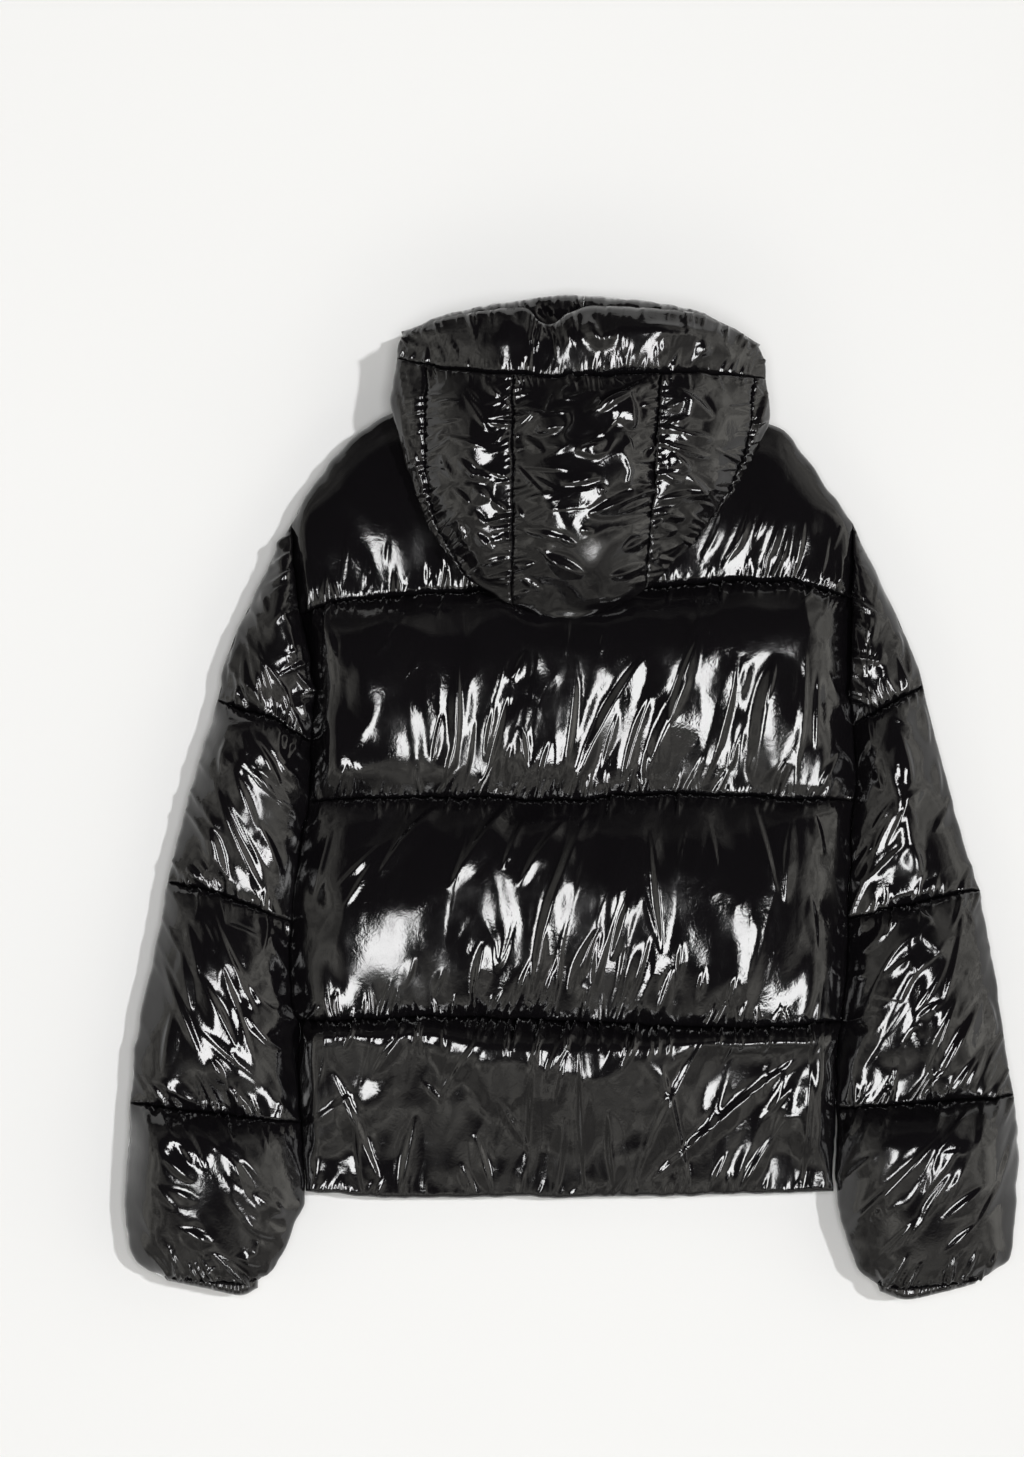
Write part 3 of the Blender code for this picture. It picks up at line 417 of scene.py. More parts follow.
# The main creases of each baffle. The rows in square brackets are given in millimetres themselves.
CREASES = {
    "back_yoke": placed(UPPER_BACK,
        (135, 520, 165, 330, 16), (200, 510, 218, 435, 10), (258, 445, 270, 378, 12),
        (305, 525, 290, 480, 12), (370, 505, 372, 440, 12), (395, 515, 408, 460, 12),
        (1105, 430, 1165, 300, 24, 10), (1165, 450, 1245, 262, 22, 14), (1200, 410, 1228, 345, 14),
        (1250, 385, 1288, 285, 16), (1270, 460, 1322, 315, 20, 8), (1315, 470, 1348, 345, 20),
        (1365, 470, 1388, 325, 24), (1430, 490, 1455, 370, 20), (1455, 420, 1490, 335, 14),
        (1485, 500, 1488, 420, 20), (60, 560, 40, 430, 20), (700, 560, 690, 540, 10)),
    "back_upper": [(-164, 115, -135, 156, 3.2, 0.8, 2), (-137, 97, -123, 121, 3.0, 0.7, 0)]
        + placed(UPPER_BACK,
        (385, 985, 414, 842, 20), (418, 1045, 442, 930, 18), (448, 1000, 458, 692, 26),
        (468, 1050, 502, 862, 22), (525, 975, 556, 815, 22), (536, 1010, 594, 795, 26, 6),
        (585, 1010, 602, 920, 18), (640, 1000, 620, 880, 30), (672, 1040, 706, 915, 24),
        (770, 1040, 955, 690, 60, -14), (838, 1000, 884, 840, 18), (895, 1060, 968, 800, 34, -6),
        (1020, 870, 1105, 630, 30, -6), (1112, 1045, 1200, 690, 32, 12), (1275, 830, 1304, 700, 20),
        (1365, 1010, 1388, 680, 22, 6), (1415, 950, 1422, 730, 26), (1505, 860, 1445, 730, 22),
        (1430, 1050, 1485, 950, 26), (1300, 1050, 1338, 970, 22), (130, 700, 100, 600, 26),
        (740, 700, 755, 590, 14), (830, 700, 850, 620, 14), (600, 760, 640, 680, 40),
        (1185, 1000, 1200, 930, 16), (1235, 1010, 1250, 950, 16), (160, 960, 200, 1040, 16),
        (730, 1000, 770, 700, 36, 8)) + [(150, 12, 168, 118, 24.0, 4.5, 0), (-62, 10, -40, 84, 20.0, 3.5, 0),
        (60, 18, 96, 100, 16.0, 3.0, 0)],
    "back_lower": placed(LOWER_BACK,
        (240, 260, 405, 62, 38, -10), (430, 290, 602, 52, 48, -6), (572, 235, 634, 100, 26),
        (615, 285, 740, 105, 36, -8), (655, 610, 800, 100, 56, -26), (752, 570, 836, 385, 34, -8),
        (838, 400, 822, 570, 26, 8), (878, 230, 897, 150, 12), (968, 130, 1002, 460, 40, -8),
        (908, 615, 966, 415, 30), (1040, 555, 1054, 430, 20), (1096, 590, 1114, 500, 18),
        (1130, 110, 1152, 260, 16), (1245, 55, 1305, 290, 30), (1350, 100, 1330, 330, 30, 8),
        (496, 590, 528, 430, 40), (598, 630, 655, 470, 26), (676, 615, 724, 470, 26),
        (985, 640, 1034, 490, 26), (130, 285, 245, 170, 18), (148, 340, 235, 205, 18),
        (866, 480, 918, 300, 30), (950, 290, 1000, 455, 16), (310, 560, 340, 470, 24),
        (390, 580, 420, 500, 24), (1180, 620, 1200, 520, 26), (60, 330, 120, 120, 30),
        (1420, 460, 1400, 300, 24), (1440, 200, 1410, 80, 24)),
    "back_hem": placed(LOWER_BACK,
        (225, 800, 330, 655, 26, -6), (405, 865, 535, 660, 28, -8), (355, 800, 415, 862, 12),
        (652, 665, 668, 770, 22), (690, 810, 756, 655, 34, -6), (716, 870, 748, 720, 22),
        (1118, 680, 935, 1100, 44, 14), (1270, 915, 1358, 815, 18), (980, 1080, 1370, 740, 40, -10),
        (560, 850, 650, 1000, 24), (500, 950, 545, 1120, 36), (460, 1030, 505, 1125, 26),
        (780, 700, 800, 1120, 30), (1180, 1000, 1130, 1120, 26), (1300, 960, 1210, 1120, 30),
        (120, 780, 240, 1080, 44), (50, 930, 170, 840, 30), (660, 760, 640, 1130, 30),
        (640, 1000, 620, 1130, 26), (740, 900, 720, 1120, 34), (860, 880, 880, 1120, 40),
        (1000, 760, 1080, 1120, 44), (340, 900, 300, 1120, 40), (180, 900, 200, 1120, 30),
        (1400, 760, 1380, 1100, 40), (1160, 760, 1190, 690, 30)),
    "sleeve_left_back_1": placed(LEFT_SLEEVE_TOP,
        (625, 290, 668, 185, 20), (540, 455, 578, 600, 14), (498, 640, 522, 810, 24),
        (555, 590, 602, 860, 32), (553, 720, 562, 870, 22), (450, 835, 492, 780, 40),
        (628, 755, 672, 875, 24), (678, 550, 702, 690, 26), (712, 610, 735, 780, 36),
        (758, 640, 772, 790, 24), (640, 480, 692, 570, 20), (572, 420, 592, 500, 34),
        (508, 530, 562, 830, 22), (480, 560, 440, 760, 30)),
    "sleeve_left_back_2": placed(LEFT_SLEEVE_TOP,
        (475, 1020, 702, 1265, 24), (560, 975, 642, 1135, 46), (560, 1080, 632, 1195, 34),
        (640, 1050, 712, 1125, 30), (628, 1185, 702, 1245, 26), (398, 1110, 578, 1530, 46, 12),
        (468, 1075, 560, 1300, 50), (556, 1265, 642, 1475, 50), (378, 1285, 442, 1490, 56),
        (298, 1435, 354, 1505, 40), (686, 1295, 718, 1410, 30), (420, 1130, 600, 1480, 16),
        (340, 1185, 432, 1335, 34), (440, 960, 420, 1100, 40), (500, 940, 530, 1030, 22)),
    "sleeve_left_back_3": placed(LEFT_SLEEVE_END,
        (286, 140, 345, 335, 40), (335, 330, 470, 600, 56), (388, 118, 542, 475, 44, 10),
        (338, 130, 402, 255, 36), (268, 250, 312, 470, 44), (195, 280, 342, 630, 34),
        (328, 525, 562, 735, 26), (236, 470, 200, 700, 50), (378, 635, 432, 735, 40),
        (428, 735, 522, 855, 26), (172, 722, 348, 828, 42), (498, 475, 605, 610, 46),
        (338, 798, 442, 842, 24), (428, 150, 552, 205, 34), (398, 255, 532, 645, 34),
        (560, 560, 650, 620, 24)),
    "sleeve_left_back_4": placed(LEFT_SLEEVE_END,
        (198, 858, 282, 965, 40), (238, 860, 322, 1025, 40), (288, 888, 366, 1045, 44),
        (338, 888, 422, 975, 24), (428, 968, 532, 1112, 40), (212, 995, 322, 1085, 50),
        (168, 1088, 252, 1185, 34), (218, 1105, 332, 1155, 40), (528, 1128, 642, 1212, 60),
        (488, 1225, 602, 1302, 56), (268, 1255, 382, 1312, 56), (468, 1358, 552, 1402, 34),
        (338, 1440, 392, 1398, 26), (160, 1350, 242, 1465, 30), (450, 1480, 420, 1380, 30),
        (560, 1480, 590, 1380, 26)),
    "sleeve_right_back_1": placed(RIGHT_SLEEVE_TOP,
        (203, 425, 226, 298, 14), (138, 380, 192, 378, 24), (128, 475, 166, 665, 40),
        (186, 465, 174, 565, 32), (214, 465, 178, 685, 28, 8), (242, 588, 203, 655, 34),
        (258, 700, 302, 772, 26), (140, 205, 182, 200, 14), (300, 515, 322, 605, 36),
        (340, 560, 352, 700, 40), (230, 700, 250, 780, 24)),
    "sleeve_right_back_2": placed(RIGHT_SLEEVE_TOP,
        (300, 905, 352, 1125, 60), (258, 850, 352, 882, 26), (392, 1128, 318, 1172, 34),
        (318, 1168, 368, 1310, 18, -12), (195, 1402, 278, 1225, 34), (168, 1502, 322, 1348, 30),
        (358, 1345, 392, 1475, 56), (378, 1552, 452, 1478, 50), (215, 1055, 236, 1135, 24),
        (272, 1175, 198, 1295, 34), (402, 800, 425, 960, 44), (330, 1180, 250, 1360, 20),
        (150, 1040, 190, 930, 30), (450, 1000, 470, 1150, 36), (440, 1300, 500, 1200, 40)),
    "sleeve_right_back_3": placed(RIGHT_SLEEVE_END,
        (336, 498, 436, 425, 30), (430, 445, 513, 95, 28, 8), (356, 185, 442, 275, 60),
        (318, 100, 402, 152, 40), (206, 352, 322, 268, 24), (318, 265, 332, 332, 20),
        (325, 485, 442, 288, 18, 10), (176, 410, 306, 434, 16), (306, 436, 218, 572, 16, -6),
        (222, 565, 148, 692, 16), (378, 705, 484, 425, 34), (436, 705, 578, 435, 60),
        (452, 802, 602, 588, 32), (518, 772, 602, 598, 30), (588, 765, 642, 648, 30),
        (358, 792, 432, 688, 32), (148, 262, 242, 178, 44), (98, 362, 172, 338, 20),
        (528, 98, 562, 172, 24), (90, 520, 200, 480, 24), (600, 420, 640, 560, 36)),
    "sleeve_right_back_4": placed(RIGHT_SLEEVE_END,
        (556, 945, 592, 798, 44), (398, 972, 532, 822, 40), (388, 978, 532, 968, 18),
        (366, 1125, 402, 978, 34), (348, 1215, 462, 1048, 42), (196, 1384, 352, 1208, 28),
        (298, 1314, 402, 1148, 26), (556, 1248, 652, 1075, 30), (642, 1100, 714, 868, 32),
        (428, 1225, 592, 1098, 40), (438, 1345, 562, 1238, 34), (418, 1454, 522, 1328, 20),
        (88, 1084, 192, 978, 40), (176, 1236, 202, 1178, 34), (98, 1265, 432, 898, 56),
        (290, 1440, 300, 1530, 30), (200, 1400, 260, 1500, 36), (480, 1520, 520, 1420, 30),
        (600, 1460, 640, 1340, 34)),
    "hood_brim": [(-19, 398, -15, 362, 6.0, -2.4, 0), (-24, 392, -30, 366, 3.0, 1.4, 0),
                  (-12, 392, 2, 368, 3.5, 1.4, 0)] + placed(HOOD,
        (600, 150, 672, 285, 22), (622, 155, 692, 245, 18), (575, 225, 612, 305, 16),
        (558, 345, 602, 285, 20), (735, 135, 762, 235, 46), (798, 178, 872, 285, 56),
        (828, 240, 925, 240, 46), (928, 305, 962, 268, 18), (1048, 325, 1142, 258, 28),
        (1228, 250, 1302, 300, 40), (1214, 335, 1292, 258, 30), (168, 155, 405, 108, 18),
        (178, 205, 302, 128, 16), (200, 255, 252, 322, 18), (258, 238, 302, 312, 18),
        (68, 205, 112, 285, 20), (940, 200, 1350, 230, 50), (120, 220, 300, 200, 40),
        (640, 170, 560, 120, 24), (690, 180, 760, 130, 26), (860, 100, 900, 170, 24),
        (1000, 110, 1040, 180, 24), (420, 140, 560, 200, 50), (1400, 200, 1460, 300, 30)),
    "hood_centre": placed(HOOD,
        (508, 402, 602, 384, 28), (698, 384, 862, 388, 20), (858, 384, 962, 444, 34),
        (815, 565, 1092, 388, 42, -8), (848, 552, 1005, 448, 30), (960, 470, 985, 610, 70),
        (588, 540, 642, 552, 22), (640, 552, 670, 468, 22), (954, 628, 988, 698, 20),
        (984, 698, 1088, 638, 20), (638, 676, 722, 674, 16), (548, 758, 752, 776, 18),
        (518, 738, 642, 872, 20), (578, 788, 722, 872, 18), (558, 884, 692, 858, 26),
        (638, 932, 802, 918, 16), (806, 944, 1092, 818, 56), (928, 932, 1052, 878, 40),
        (558, 998, 742, 1042, 26), (698, 1028, 762, 1062, 26), (598, 1068, 712, 1152, 20),
        (518, 1130, 602, 1130, 32), (888, 1182, 1052, 1130, 34), (948, 1082, 1052, 1018, 32),
        (778, 1000, 832, 1010, 24), (848, 842, 884, 850, 32), (1008, 800, 1062, 820, 32),
        (1038, 724, 1088, 656, 40), (520, 900, 562, 962, 24), (600, 620, 720, 600, 60),
        (760, 700, 880, 660, 60), (640, 1100, 800, 1180, 50), (560, 640, 640, 700, 40),
        (700, 830, 860, 800, 40), (540, 1180, 640, 1240, 26)) + [(8, 310, 72, 338, 17.0, 4.0, 0)],
    "hood_side_right": placed(HOOD,
        (1108, 402, 1122, 442, 24), (1118, 524, 1182, 498, 40), (1108, 592, 1204, 558, 32),
        (1098, 664, 1294, 716, 28), (1138, 698, 1214, 774, 50), (1108, 788, 1184, 812, 28),
        (1078, 882, 1314, 838, 34), (1088, 918, 1194, 952, 40), (1088, 978, 1164, 1002, 40),
        (1068, 1092, 1172, 1058, 24), (1058, 1108, 1112, 1142, 24), (1200, 780, 1320, 900, 50),
        (1180, 620, 1300, 640, 40), (1160, 450, 1300, 560, 60)),
    "hood_end_right": placed(HOOD,
        (1380, 800, 1480, 600, 40), (1470, 620, 1530, 430, 40), (1440, 400, 1524, 474, 20)),
    "hood_side_left": placed(HOOD,
        (188, 502, 314, 490, 20), (188, 572, 314, 564, 20), (318, 458, 424, 624, 26),
        (338, 448, 394, 514, 20), (408, 418, 474, 484, 26), (248, 628, 414, 682, 22),
        (208, 644, 252, 598, 20), (298, 718, 384, 804, 34), (338, 768, 424, 802, 30),
        (358, 828, 424, 884, 56), (278, 828, 354, 904, 22), (428, 778, 504, 802, 24),
        (368, 928, 404, 984, 26), (368, 1008, 434, 1084, 32), (388, 1132, 504, 1108, 22),
        (468, 1020, 512, 1042, 28), (492, 598, 438, 664, 26), (440, 560, 500, 500, 20),
        (230, 700, 280, 800, 26), (300, 960, 340, 1060, 26), (430, 880, 500, 930, 26)),
    "hood_end_left": placed(HOOD,
        (58, 300, 112, 564, 18), (88, 310, 132, 604, 18), (48, 420, 132, 804, 20), (98, 600, 204, 964, 22),
        (120, 420, 150, 700, 14), (180, 860, 260, 1060, 22)),
}


def creases_of(name):
    """The rows of a piece's creases, higher on the hood."""
    rows = np.array(CREASES.get(name, []), float).reshape(-1, 7)
    rows[:, 5] *= HOOD_CREASE_GAIN if name.startswith("hood") else 1
    return rows


def ridges(x, y, creases):
    """The height of all ridges at each point. Along its length a ridge rises and fades as a sine, and
    its width does so less. Across, it climbs evenly on one side and drops steeply into a shallow trough
    on the other; which side is which changes from crease to crease."""
    height = np.zeros_like(x)
    for x0, y0, x1, y1, half_width, top, bow, *start in creases:
        run = np.array([x1 - x0, y1 - y0])
        reach = np.hypot(*run)
        t = ((x - x0) * run[0] + (y - y0) * run[1]) / reach ** 2
        near = (t > 0) & (t < 1)
        t = t[near]
        away = ((x[near] - x0) * run[1] - (y[near] - y0) * run[0]) / reach - bow * 4 * t * (1 - t)
        swell_along = np.sin(np.pi * t ** (start[0] if start else 1.0))
        change = np.sin(12.9 * x0 + 78.2 * y0)
        if abs(run[0]) > 0.12 * reach:
            gentle = -np.sign(run[0])
        else:
            gentle = -np.sign(x0) * np.sign(run[1])
        away = away / (half_width * (0.35 + 0.65 * swell_along)) * (gentle if change > -0.85 else -gentle)
        climb = np.clip(1 + away / 1.7, 0, 1) ** 1.2
        drop = 0.5 + 0.5 * np.cos(np.pi * np.clip(away / 0.7, 0, 1))
        trough = 0.22 * np.exp(-((away - 0.95) / 0.5) ** 2)
        across = np.where(away < 0, climb, drop) - trough
        height[near] += (1 + 0.15 * change) * top * swell_along ** 0.8 * across
    return height


def long_folds(x, y, seed, lean, spacing, reach, height, spread=None):
    """Sharp-topped folds that run across the whole cloth: highest where stretched noise changes sign, and
    fading beyond a reach from a middle where the two are given as the spread."""
    across = x * np.cos(lean) - y * np.sin(lean)
    down = x * np.sin(lean) + y * np.cos(lean)
    field = (unevenness(across, down, spacing, reach, seed)
             + 0.35 * unevenness(across, down, spacing / 2, reach / 2, seed + 1))
    patchy = np.clip(0.4 + 0.8 * unevenness(x, y, 45, 45, seed + 2), 0, 1.6)
    if spread:
        patchy = patchy * (0.2 + 0.8 * np.exp(-((x - spread[0]) / spread[1]) ** 4))
    return height * patchy * (1 - np.tanh(2.2 * np.abs(field)))


def seam_puckers(edge, inward, seed, pitch=7.0, longest=30.0, lean=0.25, top=0.9):
    """Ridges that start at a seam, unevenly spaced about a pitch apart: most are short, some long."""
    random = np.random.default_rng(seed)
    reach = length(edge)
    count = max(int(reach / pitch), 3)
    steps = random.uniform(0.45, 1.55, count)
    at = np.cumsum(steps) / steps.sum()
    places = np.stack([np.interp(at, np.linspace(0, 1, len(edge)), edge[:, k]) for k in (0, 1)], axis=-1)
    tangent = np.gradient(places, axis=0)
    tangent /= np.linalg.norm(tangent, axis=1, keepdims=True)
    normal = np.stack([-tangent[:, 1], tangent[:, 0]], axis=1) * inward
    long = random.random(count) ** 2.2
    lengths = 7 + (longest - 7) * long
    leans = lean + random.normal(0, 0.22, count)
    ends = places + lengths[:, None] * (normal + tangent * leans[:, None])
    widths = 1.7 + 1.6 * long + random.uniform(-0.3, 0.5, count)
    tops = PUCKER_GAIN * top * (0.6 + 0.9 * long + random.uniform(-0.3, 0.3, count))
    bows = lengths * random.normal(0, 0.05, count)
    return np.column_stack([places - normal * 1.0, ends, widths, tops, bows, np.full(count, PUCKER_START)])


# ---------------------------------------------------------------- pads

pads = []

# How a pad is filled and creased, where nothing else is said.
USUAL_LOOKS = {"slack": SLACK, "pressure": PRESSURE, "ceiling": None, "puckers": (), "groove": STITCH_GROOVE,
               "folds": None, "crest": None, "bulges": 1.2, "easing": EASING}


def add_pad(name, plan, edge, crown, full, base=LINING_Z, way=1, **looks):
    """Notes a pad to be filled. edge is the thickness at its border, crown its smooth fullness, base the
    height of its other face, and way is up for a back pad or down for a front one. The looks are those
    of the usual ones that differ."""
    plan = wavered(plan)
    thick = edge + (crown - np.minimum(edge, QUILT_EDGE)) * full
    base = np.broadcast_to(np.asarray(base, float), thick.shape)
    pads.append({"name": name, "plan": plan, "thick": thick, "full": full, "base": base, "way": way,
                 **USUAL_LOOKS, **looks})


def edge_thickness(plan, west=SIDE_EDGE, east=SIDE_EDGE, inner=QUILT_EDGE, reach=(36.0, 2.0, 0.0)):
    """The thickness that the pad keeps at its border: as much as at a quilt line, less towards its sides."""
    thick = np.broadcast_to(np.asarray(inner, float), plan.shape[:2])
    for value, border in ((west, plan[:1, :]), (east, plan[-1:, :])):
        thick = value + (thick - value) * roll(np.linalg.norm(plan - border, axis=-1), reach)
    return thick


def start_shape(pad):
    """The cloth before it settles: the smooth form and a slight unevenness, as seeds for the folds."""
    x, y = pad["plan"][..., 0], pad["plan"][..., 1]
    seed = sum(map(ord, pad["name"]))
    uneven = (0.6 * unevenness(x + 0.4 * y, y - 0.2 * x, 20, 60, seed)
              + 0.2 * unevenness(x, y, 10, 24, seed + 1))
    uneven += pad["bulges"] * unevenness(x, y, 60, 60, seed + 2)
    thick = pad["thick"] + pad["full"] * uneven
    return np.dstack([pad["plan"], thick])


def settle(pads):
    """Fills every pad at once with Blender's cloth: the sheet is sewn down all round, holds some slack
    and is pushed out by the padding, with gravity off. The result replaces the grid's points."""
    sheets = []
    for pad in pads:
        grid = pad["grid"] * MM
        wide, deep = grid.shape[:2]
        number, quads = numbered_cells(wide, deep)
        mesh = bpy.data.meshes.new(pad["name"] + "_sheet")
        mesh.from_pydata(grid.reshape(-1, 3).tolist(), [], quads.tolist())
        sheet = bpy.data.objects.new(pad["name"] + "_sheet", mesh)
        bpy.context.scene.collection.objects.link(sheet)
        rim = np.ones((wide, deep), bool)
        rim[1:-1, 1:-1] = False
        sheet.vertex_groups.new(name="sewn").add(number[rim].tolist(), 1.0, "REPLACE")
        cloth = sheet.modifiers.new("filling", "CLOTH")
        cloth.point_cache.frame_start, cloth.point_cache.frame_end = 1, SETTLING_FRAMES + 1
        settings = cloth.settings
        settings.vertex_group_mass = "sewn"
        settings.shrink_min = -pad["slack"]
        settings.use_pressure, settings.uniform_pressure_force = True, pad["pressure"]
        for key, value in CLOTH_SETTINGS.items():
            setattr(settings, key, value)
        settings.effector_weights.gravity = 0
        sheets.append(sheet)
    for number in range(1, SETTLING_FRAMES + 1):
        bpy.context.scene.frame_set(number)
    graph = bpy.context.evaluated_depsgraph_get()
    for pad, sheet in zip(pads, sheets):
        points = np.empty(pad["grid"].size, np.float32)
        sheet.evaluated_get(graph).data.vertices.foreach_get("co", points)
        moved = points.reshape(pad["grid"].shape) / MM - pad["grid"]
        far = np.linalg.norm(moved, axis=-1, keepdims=True)
        moved *= FARTHEST_MOVE * np.tanh(far / FARTHEST_MOVE) / np.maximum(far, 1e-6)
        pad["grid"] = pad["grid"] + moved
        mesh = sheet.data
        bpy.data.objects.remove(sheet)
        bpy.data.meshes.remove(mesh)
    bpy.context.scene.frame_set(1)


def outward(grid):
    """The unit normals of a grid of points, from the cross product of its two directions."""
    normal = np.cross(np.gradient(grid, axis=0), np.gradient(grid, axis=1))
    return normal / np.maximum(np.linalg.norm(normal, axis=-1, keepdims=True), 1e-9)


def detailed(pad):
    """The settled cloth made finer, with its creases, its folds and the puckers along its seams."""
    grid, base = eased(pad["grid"], pad["easing"]), pad["base"][..., None]
    if pad["crest"]:
        grid = crest_moved(grid, pad["base"], pad["crest"])
    for _ in range(FINER_PASSES):
        grid, base = finer(grid), finer(base)
    pad["fine_base"] = base[..., 0]
    x, y = grid[..., 0], grid[..., 1]
    raised = ridges(x, y, creases_of(pad["name"]))
    raised += ridges(x, y, np.concatenate(pad["puckers"])) if len(pad["puckers"]) else 0
    if pad["folds"]:
        raised += long_folds(x, y, sum(map(ord, pad["name"])) + 7, *pad["folds"])
    away = np.minimum.reduce([np.linalg.norm(grid - edge, axis=-1) for edge in
                              (grid[:1], grid[-1:], grid[:, :1], grid[:, -1:])])
    grid = grid + outward(grid) * (raised * np.clip(away / 1.6, 0, 1))[..., None]
    thick = grid[..., 2] - pad["fine_base"]
    grid[..., 2] -= np.minimum(pad["groove"], 0.6 * thick) * np.exp(-(away / GROOVE_HALF_WIDTH) ** 2)
    return grid


def crest_moved(grid, base, crest):
    """The heights along a baffle redrawn with their middle at another share of the way up, which wanders
    from side to side: a place v takes the height from a v / (1 + (a - 1) v), with a the part above the
    crest over the part below it."""
    rows = grid.shape[1] - 1
    middle = grid[:, rows // 2]
    wandering = crest + CREST_WANDER * unevenness(middle[:, 0], middle[:, 1], 48, 160, 17)[:, None]
    v, a = np.arange(rows + 1) / rows, (1 - wandering) / wandering
    at = rows * a * v / (1 + (a - 1) * v)
    low = np.minimum(np.floor(at).astype(int), rows - 1)
    share, column = at - low, np.arange(len(grid))[:, None]
    thick = grid[..., 2] - base
    grid = grid.copy()
    grid[..., 2] = base + thick[column, low] * (1 - share) + thick[column, low + 1] * share
    return grid


def below_ceiling(height, ceiling, softness):
    """Heights eased under a ceiling: what passes it by more and more is pressed towards it."""
    over = height - (ceiling - softness)
    return np.where(over > 0, ceiling - softness + softness * np.tanh(over / softness), height)


def mesh_piece(name, points, faces, smooth_faces, material):
    """An object at the origin from points in millimetres; the first smooth_faces faces are smooth."""
    mesh = bpy.data.meshes.new(name)
    mesh.from_pydata((points * MM).tolist(), [], faces)
    smooth = np.zeros(len(mesh.polygons), bool)
    smooth[:smooth_faces] = True
    mesh.polygons.foreach_set("use_smooth", smooth)
    mesh.materials.append(material)
    piece = bpy.data.objects.new(name, mesh)
    bpy.context.scene.collection.objects.link(piece)
    return piece


def numbered_cells(wide, deep):
    """The numbers of a grid's points, and its cells as quads of them."""
    number = np.arange(wide * deep).reshape(wide, deep)
    quads = np.stack([number[:-1, :-1], number[1:, :-1], number[1:, 1:], number[:-1, 1:]], axis=-1)
    return number, quads.reshape(-1, 4)


def rim_of(number):
    """The border of a numbered grid, once round."""
    return np.concatenate([number[:, 0], number[-1, 1:], number[-2::-1, -1], number[0, -2:0:-1]])


def closed_pad(name, grid, base, way, material):
    """A closed pad: the creased grid, a wall down from its border to the flat other face, and that face."""
    wide, deep = grid.shape[:2]
    number, quads = numbered_cells(wide, deep)
    rim = rim_of(number)
    flat = grid.reshape(-1, 3)
    foot = flat[rim].copy()
    foot[:, 2] = base.reshape(-1)[rim]
    feet = np.arange(len(rim)) + wide * deep
    walls = np.stack([rim, feet, np.roll(feet, -1), np.roll(rim, -1)], axis=-1)
    faces = quads.tolist() + walls.tolist() + [feet[::-1].tolist()]
    if way < 0:
        faces = [face[::-1] for face in faces]
    return mesh_piece(name, np.concatenate([flat, foot]), faces, len(quads), material)


def closed_sheet(name, upper, lower, material):
    """A closed piece between two grids of the same size, joined by a wall round their borders."""
    wide, deep = upper.shape[:2]
    number, quads = numbered_cells(wide, deep)
    rim = rim_of(number)
    count = wide * deep
    walls = np.stack([rim, rim + count, np.roll(rim, -1) + count, np.roll(rim, -1)], axis=-1)
    faces = np.concatenate([quads, quads[:, ::-1] + count, walls]).tolist()
    points = np.concatenate([upper.reshape(-1, 3), lower.reshape(-1, 3)])
    return mesh_piece(name, points, faces, len(faces), material)


# ---------------------------------------------------------------- shader maths

class Socket:
    """A node's output with arithmetic: each operation adds its Math node."""

    def __init__(self, tree, output):
        self.tree, self.output = tree, output

    def node(self, kind, settings=None, **inputs):
        """Adds any node, with its settings first and then its sockets' values or links."""
        added = self.tree.nodes.new(kind)
        for key, value in (settings or {}).items():
            setattr(added, key, value)
        for key, value in inputs.items():
            numbered = key[0] == "i" and key[1:].isdigit()
            socket = added.inputs[int(key[1:]) if numbered else key.replace("_", " ")]
            if isinstance(value, Socket):
                self.tree.links.new(value.output, socket)
            else:
                socket.default_value = value
        return added

    def maths(self, operation, first, second=0.0):
        """One Math node on two values."""
        added = self.node("ShaderNodeMath", {"operation": operation}, i0=first, i1=second)
        return Socket(self.tree, added.outputs[0])

    def __add__(self, other): return self.maths("ADD", self, other)
    def __radd__(self, other): return self.maths("ADD", other, self)
    def __sub__(self, other): return self.maths("SUBTRACT", self, other)
    def __rsub__(self, other): return self.maths("SUBTRACT", other, self)
    def __mul__(self, other): return self.maths("MULTIPLY", self, other)
    def __rmul__(self, other): return self.maths("MULTIPLY", other, self)
    def __truediv__(self, other): return self.maths("DIVIDE", self, other)
    def __pow__(self, other): return self.maths("POWER", self, other)
    def __abs__(self): return self.maths("ABSOLUTE", self)

    def clamped(self, low, high):
        """The value kept between two numbers."""
        return self.maths("MINIMUM", self.maths("MAXIMUM", self, low), high)


def new_material(name, **uniform):
    """A material with its Principled shader, whose uniform values are set on its own sockets, and the
    Object coordinates as a starting socket."""
    material = bpy.data.materials.new(name)
    material.use_nodes = True
    tree = material.node_tree
    shader = tree.nodes["Principled BSDF"]
    for key, value in uniform.items():
        shader.inputs[key.replace("_", " ")].default_value = value
    place = Socket(tree, tree.nodes.new("ShaderNodeTexCoord").outputs["Object"])
    return material, shader, place


def noise(place, scale, detail=3.0, roughness=0.55, distortion=0.0):
    """Noise over the piece, about 0.5 at its middle value."""
    return Socket(place.tree, place.node("ShaderNodeTexNoise", Vector=place, Scale=scale, Detail=detail,
                                         Roughness=roughness, Distortion=distortion).outputs["Fac"])


def bumped(shader, height, distance, strength=1.0):
    """Feeds a height in metres times distance to the shader's normal."""
    bump = height.node("ShaderNodeBump", Height=height, Distance=distance, Strength=strength)
    height.tree.links.new(bump.outputs["Normal"], shader.inputs["Normal"])


def link(value, shader, socket):
    """Feeds a worked-out value to one of the shader's sockets."""
    value.tree.links.new(value.output, shader.inputs[socket])


def mixed(mask, first, second):
    """A colour between two, by a mask."""
    mix = mask.node("ShaderNodeMix", {"data_type": "RGBA"}, Factor=mask)
    mix.inputs["A"].default_value, mix.inputs["B"].default_value = (*first, 1), (*second, 1)
    return Socket(mask.tree, mix.outputs["Result"])


